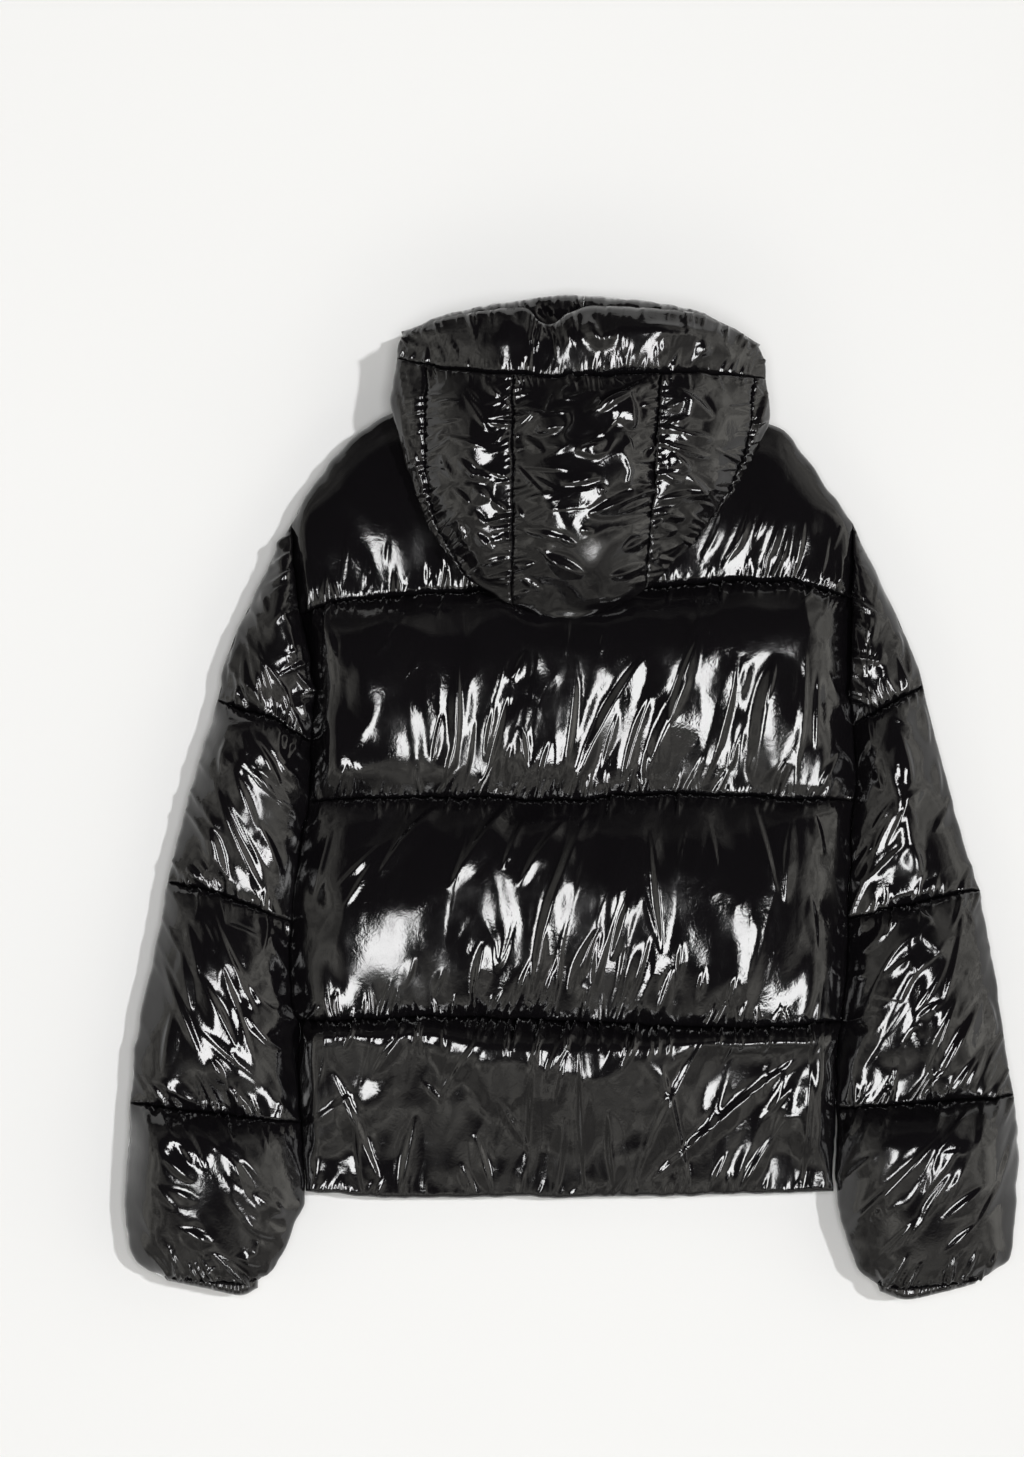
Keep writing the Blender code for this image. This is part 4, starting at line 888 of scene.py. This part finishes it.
def coated_cloth():
    """Black cloth under a wet-looking film: nearly no colour, a sharp gloss that is duller in faint
    clouds, and fine crinkles of two sizes in the film."""
    material, shader, place = new_material("coated_cloth", IOR=1.52)
    clouds = noise(place, 22.0, 4.0)
    crinkle = noise(place, 130.0, 3.0, 0.6, 0.6)
    fine = noise(place, 520.0, 2.0)
    link(mixed(clouds, (0.0055, 0.0048, 0.0058), (0.0032, 0.0029, 0.0034)), shader, "Base Color")
    link((0.035 + 0.5 * clouds ** 3.0).clamped(0.04, 0.3), shader, "Roughness")
    bumped(shader, crinkle + 0.22 * fine, 0.0008, 0.2)
    return material


def plated_metal():
    """Dark plated zip metal with a little wear."""
    material, shader, place = new_material("dark_plated_metal", Metallic=1.0)
    wear = noise(place, 900.0, 3.0)
    link(mixed(wear, (0.035, 0.035, 0.037), (0.09, 0.09, 0.095)), shader, "Base Color")
    link(0.2 + 0.25 * wear, shader, "Roughness")
    return material


def woven_tape():
    """The zip's woven tape: a fine herringbone of dull threads."""
    material, shader, place = new_material("woven_tape")
    parts = place.node("ShaderNodeSeparateXYZ", Vector=place)
    x, y = Socket(place.tree, parts.outputs["X"]), Socket(place.tree, parts.outputs["Y"])
    slant = abs((x * 400.0).maths("PINGPONG", x * 400.0, 1.0)) + y * 1100.0
    thread = (slant * 6.2832).maths("SINE", slant * 6.2832) * 0.5 + 0.5
    link(mixed(thread, (0.008, 0.008, 0.009), (0.02, 0.02, 0.021)), shader, "Base Color")
    link(0.65 + 0.2 * thread, shader, "Roughness")
    bumped(shader, thread, 0.0002, 0.6)
    return material


def pale_floor():
    """Matt pale board with the slightest mottling."""
    material, shader, place = new_material("pale_floor", Specular_IOR_Level=0.1)
    link(mixed(noise(place, 3.0, 2.0), (0.86, 0.86, 0.86), (0.875, 0.875, 0.875)), shader, "Base Color")
    shader.inputs["Roughness"].default_value = 0.9
    return material


# ---------------------------------------------------------------- the jacket's pads

# The baffles below the yoke, from the hem up: the quilt lines below and above, and their looks.
BACK_BAFFLES = {
    "back_hem": ("hem", "lower", {"folds": BODY_FOLDS, "slack": 0.025, "pressure": HEM_PRESSURE,
                                  "bulges": 1.0}),
    "back_lower": ("lower", "middle", {"folds": LOWER_FOLDS, "crest": 0.60}),
    "back_upper": ("middle", "yoke", {"folds": UPPER_FOLDS, "crest": 0.63}),
}
# Their forms: how much flatter their sides are, how much fuller the whole is, the rolls at their left and
# right sides, bottom and top, how far their lower and upper seams take part in the raised seam, and the
# puckers at those two seams.
FORMS = {
    "back_hem": (0.0, HEM_FULLER, (HEM_SIDE_ROLL, HEM_SIDE_ROLL, HEM_ROLL, HEM_TOP_ROLL), (0, 1),
                 {"seed": 11, "longest": 24, "top": 0.4}, {"seed": 21, "longest": 36, "top": 1.5}),
    "back_lower": (0.85, 0.0, (SIDE_ROLL, SIDE_ROLL, QUILT_ROLL, QUILT_TOP_ROLL), (1, 0),
                   {"seed": 12, "longest": 38, "top": 0.9}, {"seed": 22, "longest": 22, "top": 1.0}),
    "back_upper": (0.12, 0.0, (UPPER_LEFT_ROLL, SIDE_ROLL, UPPER_QUILT_ROLL, QUILT_TOP_ROLL), (0, 0),
                   {"seed": 13, "longest": 38, "top": 0.9}, {"seed": 23, "longest": 22, "top": 1.0}),
}


def note_back():
    """The four back baffles, from the hem up to the yoke."""
    for name, (below, above, looks) in BACK_BAFFLES.items():
        south, north = smoothed(line(QUILTS[below])), smoothed(line(QUILTS[above]))
        plan = patch(south, north, body_side("left", south[0, 1], north[0, 1]),
                     body_side("right", south[-1, 1], north[-1, 1]), CLOTH_PITCH)
        flatter, fuller, (west, east, bottom, top), seam_up, low_puckers, high_puckers = FORMS[name]
        across = np.clip(plan[..., 0] / BODY_HALF_WIDTH, -1, 1)
        crown = BACK_CROWN - (BACK_CROWN - BACK_SIDE_CROWN) * flatter * across ** 2 + fuller
        full = swell(plan, west, east, bottom, top)
        if name == "back_upper":
            calm = swell(plan, west, east, west, top)
            full = full + (calm - full) * np.clip((CALM_END[0] - plan[..., 0]) / CALM_END[1], 0, 1)
        height = np.linalg.norm(plan[:, -1:] - plan[:, :1], axis=-1)
        up = np.linalg.norm(plan - plan[:, :1], axis=-1) / height
        raised = LOWER_SEAM_UP * (seam_up[0] + (seam_up[1] - seam_up[0]) * up)
        edge = edge_thickness(plan, inner=QUILT_EDGE + raised)
        if name == "back_hem":
            edge = np.minimum(edge, HEM_EDGE + (edge - HEM_EDGE) * up)
        puckers = (seam_puckers(south, 1, **low_puckers), seam_puckers(north, -1, lean=-0.2, **high_puckers))
        add_pad(name, plan, edge, crown, full, ceiling=BACK_CEILING, puckers=puckers, **looks)
    yoke, top = smoothed(line(QUILTS["yoke"])), smoothed(line(BACK_TOP))
    sides = (body_side(side, yoke[at, 1], SHOULDER_Y) for side, at in (("left", 0), ("right", -1)))
    plan = patch(yoke, top, *sides, CLOTH_PITCH)
    full = swell(plan, ARMHOLE_ROLL, ARMHOLE_ROLL, YOKE_ROLL, SHOULDER_ROLL)
    thinner = 0.3 + 0.7 * roll(np.linalg.norm(plan - plan[:, -1:], axis=-1), 60)
    add_pad("back_yoke", plan, edge_thickness(plan, YOKE_END, YOKE_END) * thinner, YOKE_CROWN, full,
            slack=0.02, bulges=0.3, ceiling=YOKE_CEILING, puckers=(seam_puckers(yoke, 1, 31, longest=30),))


def note_fronts():
    """Four baffles on each side of the zip, pressed flat where they rest."""
    rows = (("hem", "hem", "lower"), ("lower", "lower", "middle"), ("upper", "middle", "yoke"),
            ("yoke", "yoke", None))
    for side, at in (("left", 0), ("right", -1)):
        left = side == "left"
        rolls = (SIDE_ROLL, ZIP_ROLL) if left else (ZIP_ROLL, SIDE_ROLL)
        edges = (SIDE_EDGE, ZIP_EDGE) if left else (ZIP_EDGE, SIDE_EDGE)
        stretch = (-BEYOND_BODY, ZIP_X - ZIP_HALF_GAP) if left else (ZIP_X + ZIP_HALF_GAP, BEYOND_BODY)
        for part, below, above in rows:
            south = smoothed(line(QUILTS[below]))
            north = smoothed(line(QUILTS[above])) if above else smoothed(line(FRONT_TOP[side]))
            seam = body_side(side, south[at, 1], north[at, 1] if above else SHOULDER_Y)
            south = clipped(south, max(stretch[0], south[0, 0]), min(stretch[1], south[-1, 0]))
            north = clipped(north, max(stretch[0], north[0, 0]), min(stretch[1], north[-1, 0]))
            middle = np.array([south[-1 - at], north[-1 - at]])
            plan = patch(south, north, *((seam, middle) if left else (middle, seam)), HIDDEN_PITCH)
            full = swell(plan, *rolls, QUILT_ROLL, QUILT_ROLL)
            add_pad(f"front_{side}_{part}", plan, edge_thickness(plan, *edges), FRONT_CROWN, full, way=-1,
                    puckers=(seam_puckers(south, 1, 41), seam_puckers(north, -1, 42)))


def note_sleeves():
    """Four baffles down each sleeve, each with a back half and a front half."""
    for side in ("left", "right"):
        out = -1 if side == "left" else 1
        armhole = body_side(side, UNDERARM_Y, SHOULDER_Y, out * (SIDE_SEAM_OUT + ARMHOLE_GAP))
        lines = [armhole[::-1]] + [smoothed(line(data)) for data in SLEEVE_QUILTS[side]]
        outer_edge = smoothed(line(SLEEVE_OUTER[side]))
        inner_edge = smoothed(line(SLEEVE_INNER[side])) - [out * SIDE_SEAM_OUT, 0]
        touching = out * (SIDE_SEAM_OUT + SLEEVE_TOUCH)
        body_edge = np.interp(inner_edge[:, 1], BODY["y"][::-1], BODY[side][::-1]) + touching
        closed = np.clip((inner_edge[:, 1] - GAP_OPENS[side]) / 12, 0, 1)
        apart = out * (inner_edge[:, 0] - body_edge) > 0
        inner_edge[:, 0] += (body_edge - inner_edge[:, 0]) * closed * apart
        for number in range(1, 5):
            above, below = lines[number - 1], lines[number]
            outer = upward(outer_edge, below[0, 1], above[0, 1])
            inner = upward(inner_edge, below[-1, 1], above[-1, 1])
            rolls = (*SLEEVE_SIDE_ROLLS[side], CUFF_ROLL if number == 4 else SLEEVE_QUILT_ROLL,
                     ARMHOLE_ROLL if number == 1 else SLEEVE_TOP_ROLL)
            if side == "right":
                above, below, outer, inner = above[::-1], below[::-1], inner, outer
            for half, way, pitch in (("back", 1, CLOTH_PITCH), ("front", -1, HIDDEN_PITCH)):
                plan = patch(below, above, outer, inner, pitch)
                low_puckers = {"pitch": 5, "top": 1.5} if number == 4 else {"pitch": 7, "top": 1.0}
                puckers = (seam_puckers(below, 1, 50 + number, lean=0.5 * out, longest=34, **low_puckers),
                           seam_puckers(above, -1, 60 + number, lean=-0.5 * out))
                add_pad(f"sleeve_{side}_{half}_{number}", plan, edge_thickness(plan),
                        SLEEVE_CROWNS[number - 1], swell(plan, *rolls), way=way, ceiling=SLEEVE_CEILING,
                        slack=SLACK + 0.015 if number < 4 else 0.015, folds=SLEEVE_FOLDS[side],
                        crest=0.6 if number in (2, 3) else None, puckers=puckers)


def hood_line(data, columns="x y"):
    """A smooth line of the hood, drawn in about the point under the camera."""
    return OVERHEAD + (smoothed(line(data, columns)) - OVERHEAD) * HOOD_DRAWN_IN


def hood_outline():
    """The hood's whole outline once round: over the brim, down the right side, along the end and back."""
    right = hood_line(HOOD_OUTLINE, "right y")
    left = hood_line(HOOD_OUTLINE, "left y")[::-1]
    return np.concatenate([hood_line(BRIM_TOP), right, left])


def edge_distance(x, y, loop):
    """The shortest distance from each point to the sides of a closed loop."""
    nearest = np.full(x.shape, np.inf)
    for start, end in zip(loop, np.roll(loop, -1, axis=0)):
        run = end - start
        t = np.clip(((x - start[0]) * run[0] + (y - start[1]) * run[1]) / max(run @ run, 1e-9), 0, 1)
        nearest = np.minimum(nearest, np.hypot(x - start[0] - t * run[0], y - start[1] - t * run[1]))
    return nearest


def hood_bed(x, y):
    """The level on which the outer panels lie: full inside, and rolled down towards the sides and end."""
    left, right = hood_line(HOOD_OUTLINE, "left y"), hood_line(HOOD_OUTLINE, "right y")[::-1]
    sides = np.concatenate([[BEYOND_BRIM["left"]], left, right, [BEYOND_BRIM["right"]]])
    return HOOD_RIM_Z + (HOOD_BED_Z - HOOD_RIM_Z) * roll(edge_distance(x, y, sides), HOOD_EDGE_ROLL)


def note_hood():
    """The five outer panels of the hood, and the brim above them."""
    end, band = hood_line(HOOD_END), hood_line(HOOD_BAND)
    order = (("hood_end_left", "left_outline", "left_outer"),
             ("hood_side_left", "left_outer", "left_centre"),
             ("hood_centre", "left_centre", "right_centre"),
             ("hood_side_right", "right_centre", "right_outer"),
             ("hood_end_right", "right_outer", "right_outline"))
    for number, (name, west_name, east_name) in enumerate(order):
        west, east = hood_line(HOOD_SEAMS[west_name]), hood_line(HOOD_SEAMS[east_name])
        south, north = clipped(end, west[0, 0], east[0, 0]), clipped(band, west[-1, 0], east[-1, 0])
        west[0], west[-1], east[0], east[-1] = south[0], north[0], south[-1], north[-1]
        plan = patch(south, north, west, east, HOOD_PITCH)
        x, y = plan[..., 0], plan[..., 1]
        rim = roll(edge_distance(x, y, hood_outline()), HOOD_RIM_ROLL)
        own = HOOD_OWN_SHARES[number]
        full = rim * (1 - own + own * swell(plan, HOOD_PANEL_ROLL, HOOD_PANEL_ROLL, None, HOOD_PANEL_ROLL))
        puckers = [seam_puckers(north, -1, 90 + number, pitch=6, longest=16)]
        if number > 0:
            puckers.append(seam_puckers(west, -1, 70 + number, pitch=5.5, longest=26, lean=0.3))
        if number < 4:
            puckers.append(seam_puckers(east, 1, 80 + number, pitch=5.5, longest=26, lean=-0.3))
        add_pad(name, plan, np.full(full.shape, HOOD_EDGE), HOOD_CROWN, full, base=hood_bed(x, y), slack=0.06,
                ceiling=HOOD_CEILING, puckers=puckers, groove=HOOD_GROOVE,
                folds=HOOD_FOLDS if number < 3 else None)
    north = hood_line(BRIM_TOP)
    plan = patch(band, north, np.array([band[0], north[0]]), np.array([band[-1], north[-1]]), HOOD_PITCH)
    x, y = plan[..., 0], plan[..., 1]
    full, fuller = (swell(plan, HOOD_RIM_ROLL, HOOD_RIM_ROLL, band_roll, BRIM_ROLL)
                    for band_roll in BAND_ROLLS)
    full = full + (fuller - full) * np.clip((x - FULLER_BRIM[0]) / FULLER_BRIM[1], 0, 1)
    crown = np.interp(x, BRIM_CROWNS["x"], BRIM_CROWNS["crown"])
    puckers = (seam_puckers(band, 1, 99, pitch=6, longest=20),
               seam_puckers(north, -1, 98, pitch=8, longest=24, top=1.4))
    add_pad("hood_brim", plan, np.full(x.shape, HOOD_EDGE), crown, full, base=hood_bed(x, y), slack=0.0,
            pressure=0.0, easing=BRIM_EASING, ceiling=HOOD_CEILING, puckers=puckers, groove=HOOD_GROOVE,
            folds=BRIM_FOLDS)


def finish_pad(piece, node):
    """A padded piece that stands for one CAD node."""
    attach(piece, "jacket")
    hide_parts(node)


def make_pads(material):
    """Settles all the noted pads and makes their pieces."""
    for pad in pads:
        pad["grid"] = start_shape(pad)
        pad["grid"][..., 2] = pad["base"] + pad["grid"][..., 2]
    settle(pads)
    for pad in pads:
        grid = detailed(pad)
        base = pad["fine_base"]
        if pad["ceiling"]:
            grid[..., 2] = below_ceiling(grid[..., 2], pad["ceiling"], CEILING_SOFTNESS[pad["ceiling"]])
        if pad["way"] < 0:
            thick = grid[..., 2] - LINING_Z
            thick = below_ceiling(thick, LINING_Z - FLOOR_CLEARANCE, 1.5)
            grid[..., 2] = LINING_Z - np.maximum(thick, 0.5)
            base = np.full(grid.shape[:2], LINING_Z - 0.1)
        else:
            base = base + 0.2
            grid[..., 2] = np.maximum(grid[..., 2], base + 0.5)
        piece = closed_pad(pad["name"] + "_cloth", grid, base, pad["way"], material)
        finish_pad(piece, pad["name"])


def make_collars(material):
    """The front stand of the collar beyond the neckline, puffed on both faces. The left one carries the
    guard that passes behind the zip, over to the right one."""
    for side in ("left", "right"):
        top = smoothed(line(COLLAR_TOP[side]))
        front = smoothed(line(FRONT_TOP[side]))
        neck = NECK_POINT[side]
        south = clipped(front, neck, front[-1, 0]) if side == "left" else clipped(front, front[0, 0], neck)
        south = south + [0, COLLAR_GAP]
        if side == "left":
            guard_x = ZIP_X + ZIP_HALF_GAP - 0.6
            south, top = (np.concatenate([edge, [[guard_x, edge[-1, 1]]]]) for edge in (south, top))
        west, east = np.array([south[0], top[0]]), np.array([south[-1], top[-1]])
        plan = wavered(patch(south, top, west, east, COLLAR_PITCH))
        full = swell(plan, 24, None, ZIP_ROLL, 13) if side == "left" else swell(plan, None, 24, ZIP_ROLL, 13)
        x, y = plan[..., 0], plan[..., 1]
        crumple = 1.6 * unevenness(x + 0.3 * y, y, 9, 16, 5) + 0.8 * unevenness(x, y, 5, 8, 6)
        crumple += ridges(x, y, seam_puckers(top, -1, 7, pitch=5, longest=26, top=2.2))
        over_zip = np.zeros_like(x)
        if side == "left":
            over_zip = np.clip((x - (ZIP_X - ZIP_HALF_GAP)) / 1.5 + 1, 0, 1)
        upper = LINING_Z + 6 + (24 + 1.6 * crumple) * full
        lower = LINING_Z - np.minimum(2 + 30 * full + 0.4 * crumple * full, LINING_Z - FLOOR_CLEARANCE)
        lower = np.where(over_zip > 0, lower + (LINING_Z + 3 - lower) * over_zip, lower)
        upper, lower = np.dstack([plan, upper]), np.dstack([plan, lower])
        piece = closed_sheet(f"collar_{side}_cloth", upper, lower, material)
        finish_pad(piece, f"collar_{side}")


def make_cuffs(material):
    """The elastic casings: flattened rings gathered into small pleats, as thick as the sleeve's end where
    they join it and rounded to their open edge."""
    for side in ("left", "right"):
        seam, end = smoothed(line(SLEEVE_QUILTS[side][3])), smoothed(line(CUFF_END[side]))
        north, end = seam[np.argsort(seam[:, 0])], end[np.argsort(end[:, 0])]
        plan = patch(end, north, np.array([end[0], north[0]]), np.array([end[-1], north[-1]]), CUFF_PITCH)
        x, y = plan[..., 0], plan[..., 1]
        pleats = 1.5 * unevenness(x, y, 3.4, 40, 8) + 0.7 * unevenness(x, y, 1.9, 20, 9)
        half = SIDE_EDGE + (QUILT_EDGE - SIDE_EDGE + pleats) * swell(plan, 22, 22, 7, None)
        upper, lower = np.dstack([plan, LINING_Z + half]), np.dstack([plan, LINING_Z - half])
        piece = closed_sheet(f"cuff_{side}_cloth", upper, lower, material)
        finish_pad(piece, f"cuff_{side}")


def make_hood_fold(material):
    """The hood's folded layers under its outer panels: a slab between the underside and the panels' bed,
    drawn in a little from the outline, rounded at its rim and crumpled, that drops behind the neck."""
    outline = {side: hood_line(HOOD_OUTLINE, f"{side} y")[::-1] for side in ("left", "right")}
    ys = np.linspace(0, 1, FOLD_ROWS) * (FOLD_END_Y - FOLD_START_Y) + FOLD_START_Y
    left, right = (np.interp(ys, outline[side][:, 1], outline[side][:, 0]) for side in ("left", "right"))
    narrower = np.interp(ys, [BACK_NECK_Y, FOLD_END_Y], [0, 14])
    left, right = left + 2 + narrower, right - 2 - narrower * 2.4
    u = 0.5 - 0.5 * np.cos(np.pi * np.linspace(0, 1, FOLD_COLUMNS))
    x = left[None, :] + u[:, None] * (right - left)[None, :]
    y = np.broadcast_to(ys, x.shape)
    rim = np.minimum.reduce([x - left, right - x, y - FOLD_START_Y, FOLD_END_Y - y])
    crumple = 1.2 * unevenness(x, y, 12, 12, 3) + 0.8 * unevenness(x, y, 5, 5, 4)
    top = hood_bed(x, y) - 1.5 - 3 * (1 - roll(rim, 8))
    underside = np.where(y > BACK_NECK_Y + 1, HOOD_NECK_Z, HOOD_UNDER_Z)
    bottom = underside + 7 * (1 - roll(rim, 10.0)) + crumple * 0.2
    bottom = np.minimum(bottom, top - 1.0)
    piece = closed_sheet("hood_fold_cloth", np.dstack([x, y, top]), np.dstack([x, y, bottom]), material)
    finish_pad(piece, "hood_fold")


# ---------------------------------------------------------------- light and camera

def softbox(name, place, target, size, power):
    """A rectangular soft light turned to a target, its long side along y, in metres and watts."""
    light = bpy.data.lights.new(name, "AREA")
    light.shape, light.size, light.size_y, light.energy = "RECTANGLE", size[0], size[1], power
    holder = bpy.data.objects.new(name, light)
    holder.location = place
    back = (Vector(place) - Vector(target)).normalized()
    across = Vector((0, 1, 0)).cross(back).normalized()
    holder.rotation_euler = Matrix((across, back.cross(across), back)).transposed().to_euler()
    bpy.context.scene.collection.objects.link(holder)
    return holder


def make_studio(floor_material):
    """The pale floor, the softboxes at either side, the pale surroundings and the camera overhead."""
    mesh = bpy.data.meshes.new("floor")
    mesh.from_pydata([(-4, -4, 0), (4, -4, 0), (4, 4, 0), (-4, 4, 0)], [], [(0, 1, 2, 3)])
    mesh.materials.append(floor_material)
    floor = bpy.data.objects.new("floor", mesh)
    bpy.context.scene.collection.objects.link(floor)

    for box in (softbox("softbox_left", (-0.62, -0.84, 2.0), (-0.10, 0, 0), (0.46, 1.05), 30),
                softbox("softbox_right", (0.66, -0.84, 2.0), (0.05, 0, 0), (0.46, 1.05), 30)):
        box.visible_diffuse = False
    softbox("fill", (0, 0, 3.6), (0, 0, 0), (1.1, 1.1), 57).visible_glossy = False
    sun = bpy.data.lights.new("key", "SUN")
    sun.energy, sun.angle = 1.33, 0.05
    key = bpy.data.objects.new("key", sun)
    key.rotation_euler = Vector((0.54, 0.18, 1.0)).to_track_quat("Z", "Y").to_euler()
    key.visible_glossy = False
    bpy.context.scene.collection.objects.link(key)

    world = bpy.data.worlds.new("surroundings")
    bpy.context.scene.world = world
    world.use_nodes = True
    tree = world.node_tree
    start = Socket(tree, tree.nodes.new("ShaderNodeTexCoord").outputs["Generated"])
    parts = start.node("ShaderNodeSeparateXYZ", Vector=start)
    x, y, z = (Socket(tree, parts.outputs[k]) for k in "XYZ")
    low = ((0.78 - z - 0.04 * y) / 0.17).clamped(0.0, 1.0)
    side = (0.82 - 0.9 * y + 0.35 * (x + abs(x))).clamped(0.05, 1.5)
    hidden = ((0.62 - z) / 0.2).clamped(0.0, 1.0) * ((-0.35 - y) / 0.25).clamped(0.0, 1.0)
    room = (3.0 * noise(start, 7.0, 2.0) - 0.5).clamped(0.15, 1.5)
    brightness = (0.012 + room * low * side * (0.74 + 0.5 * (0.5 - z).clamped(0.0, 0.5))
                  * (1.0 - 0.7 * hidden))
    tree.links.new(brightness.output, tree.nodes["Background"].inputs["Strength"])
    tree.nodes["Background"].inputs["Color"].default_value = (1.0, 0.975, 0.90, 1)

    camera = bpy.data.cameras.new("camera")
    sensor, distance, view_height = 36, 3.2, 1.2093
    camera.sensor_fit, camera.sensor_height = "VERTICAL", sensor
    camera.lens = sensor * distance / view_height
    holder = bpy.data.objects.new("camera", camera)
    holder.location = (-0.0494, 0.0573, 0.030 + distance)
    bpy.context.scene.collection.objects.link(holder)
    bpy.context.scene.camera = holder
    bpy.context.scene.view_settings.view_transform = "Standard"


# ---------------------------------------------------------------- all together

def dress_zip(tape, metal):
    """The zip's own CAD pieces take their finishes."""
    for name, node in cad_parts.items():
        if name.startswith("zip_"):
            node.data.materials.clear()
            node.data.materials.append(tape if name.startswith("zip_tape") else metal)


cloth = coated_cloth()
note_back()
note_fronts()
note_sleeves()
note_hood()
make_pads(cloth)
make_collars(cloth)
make_cuffs(cloth)
make_hood_fold(cloth)
dress_zip(woven_tape(), plated_metal())
make_studio(pale_floor())
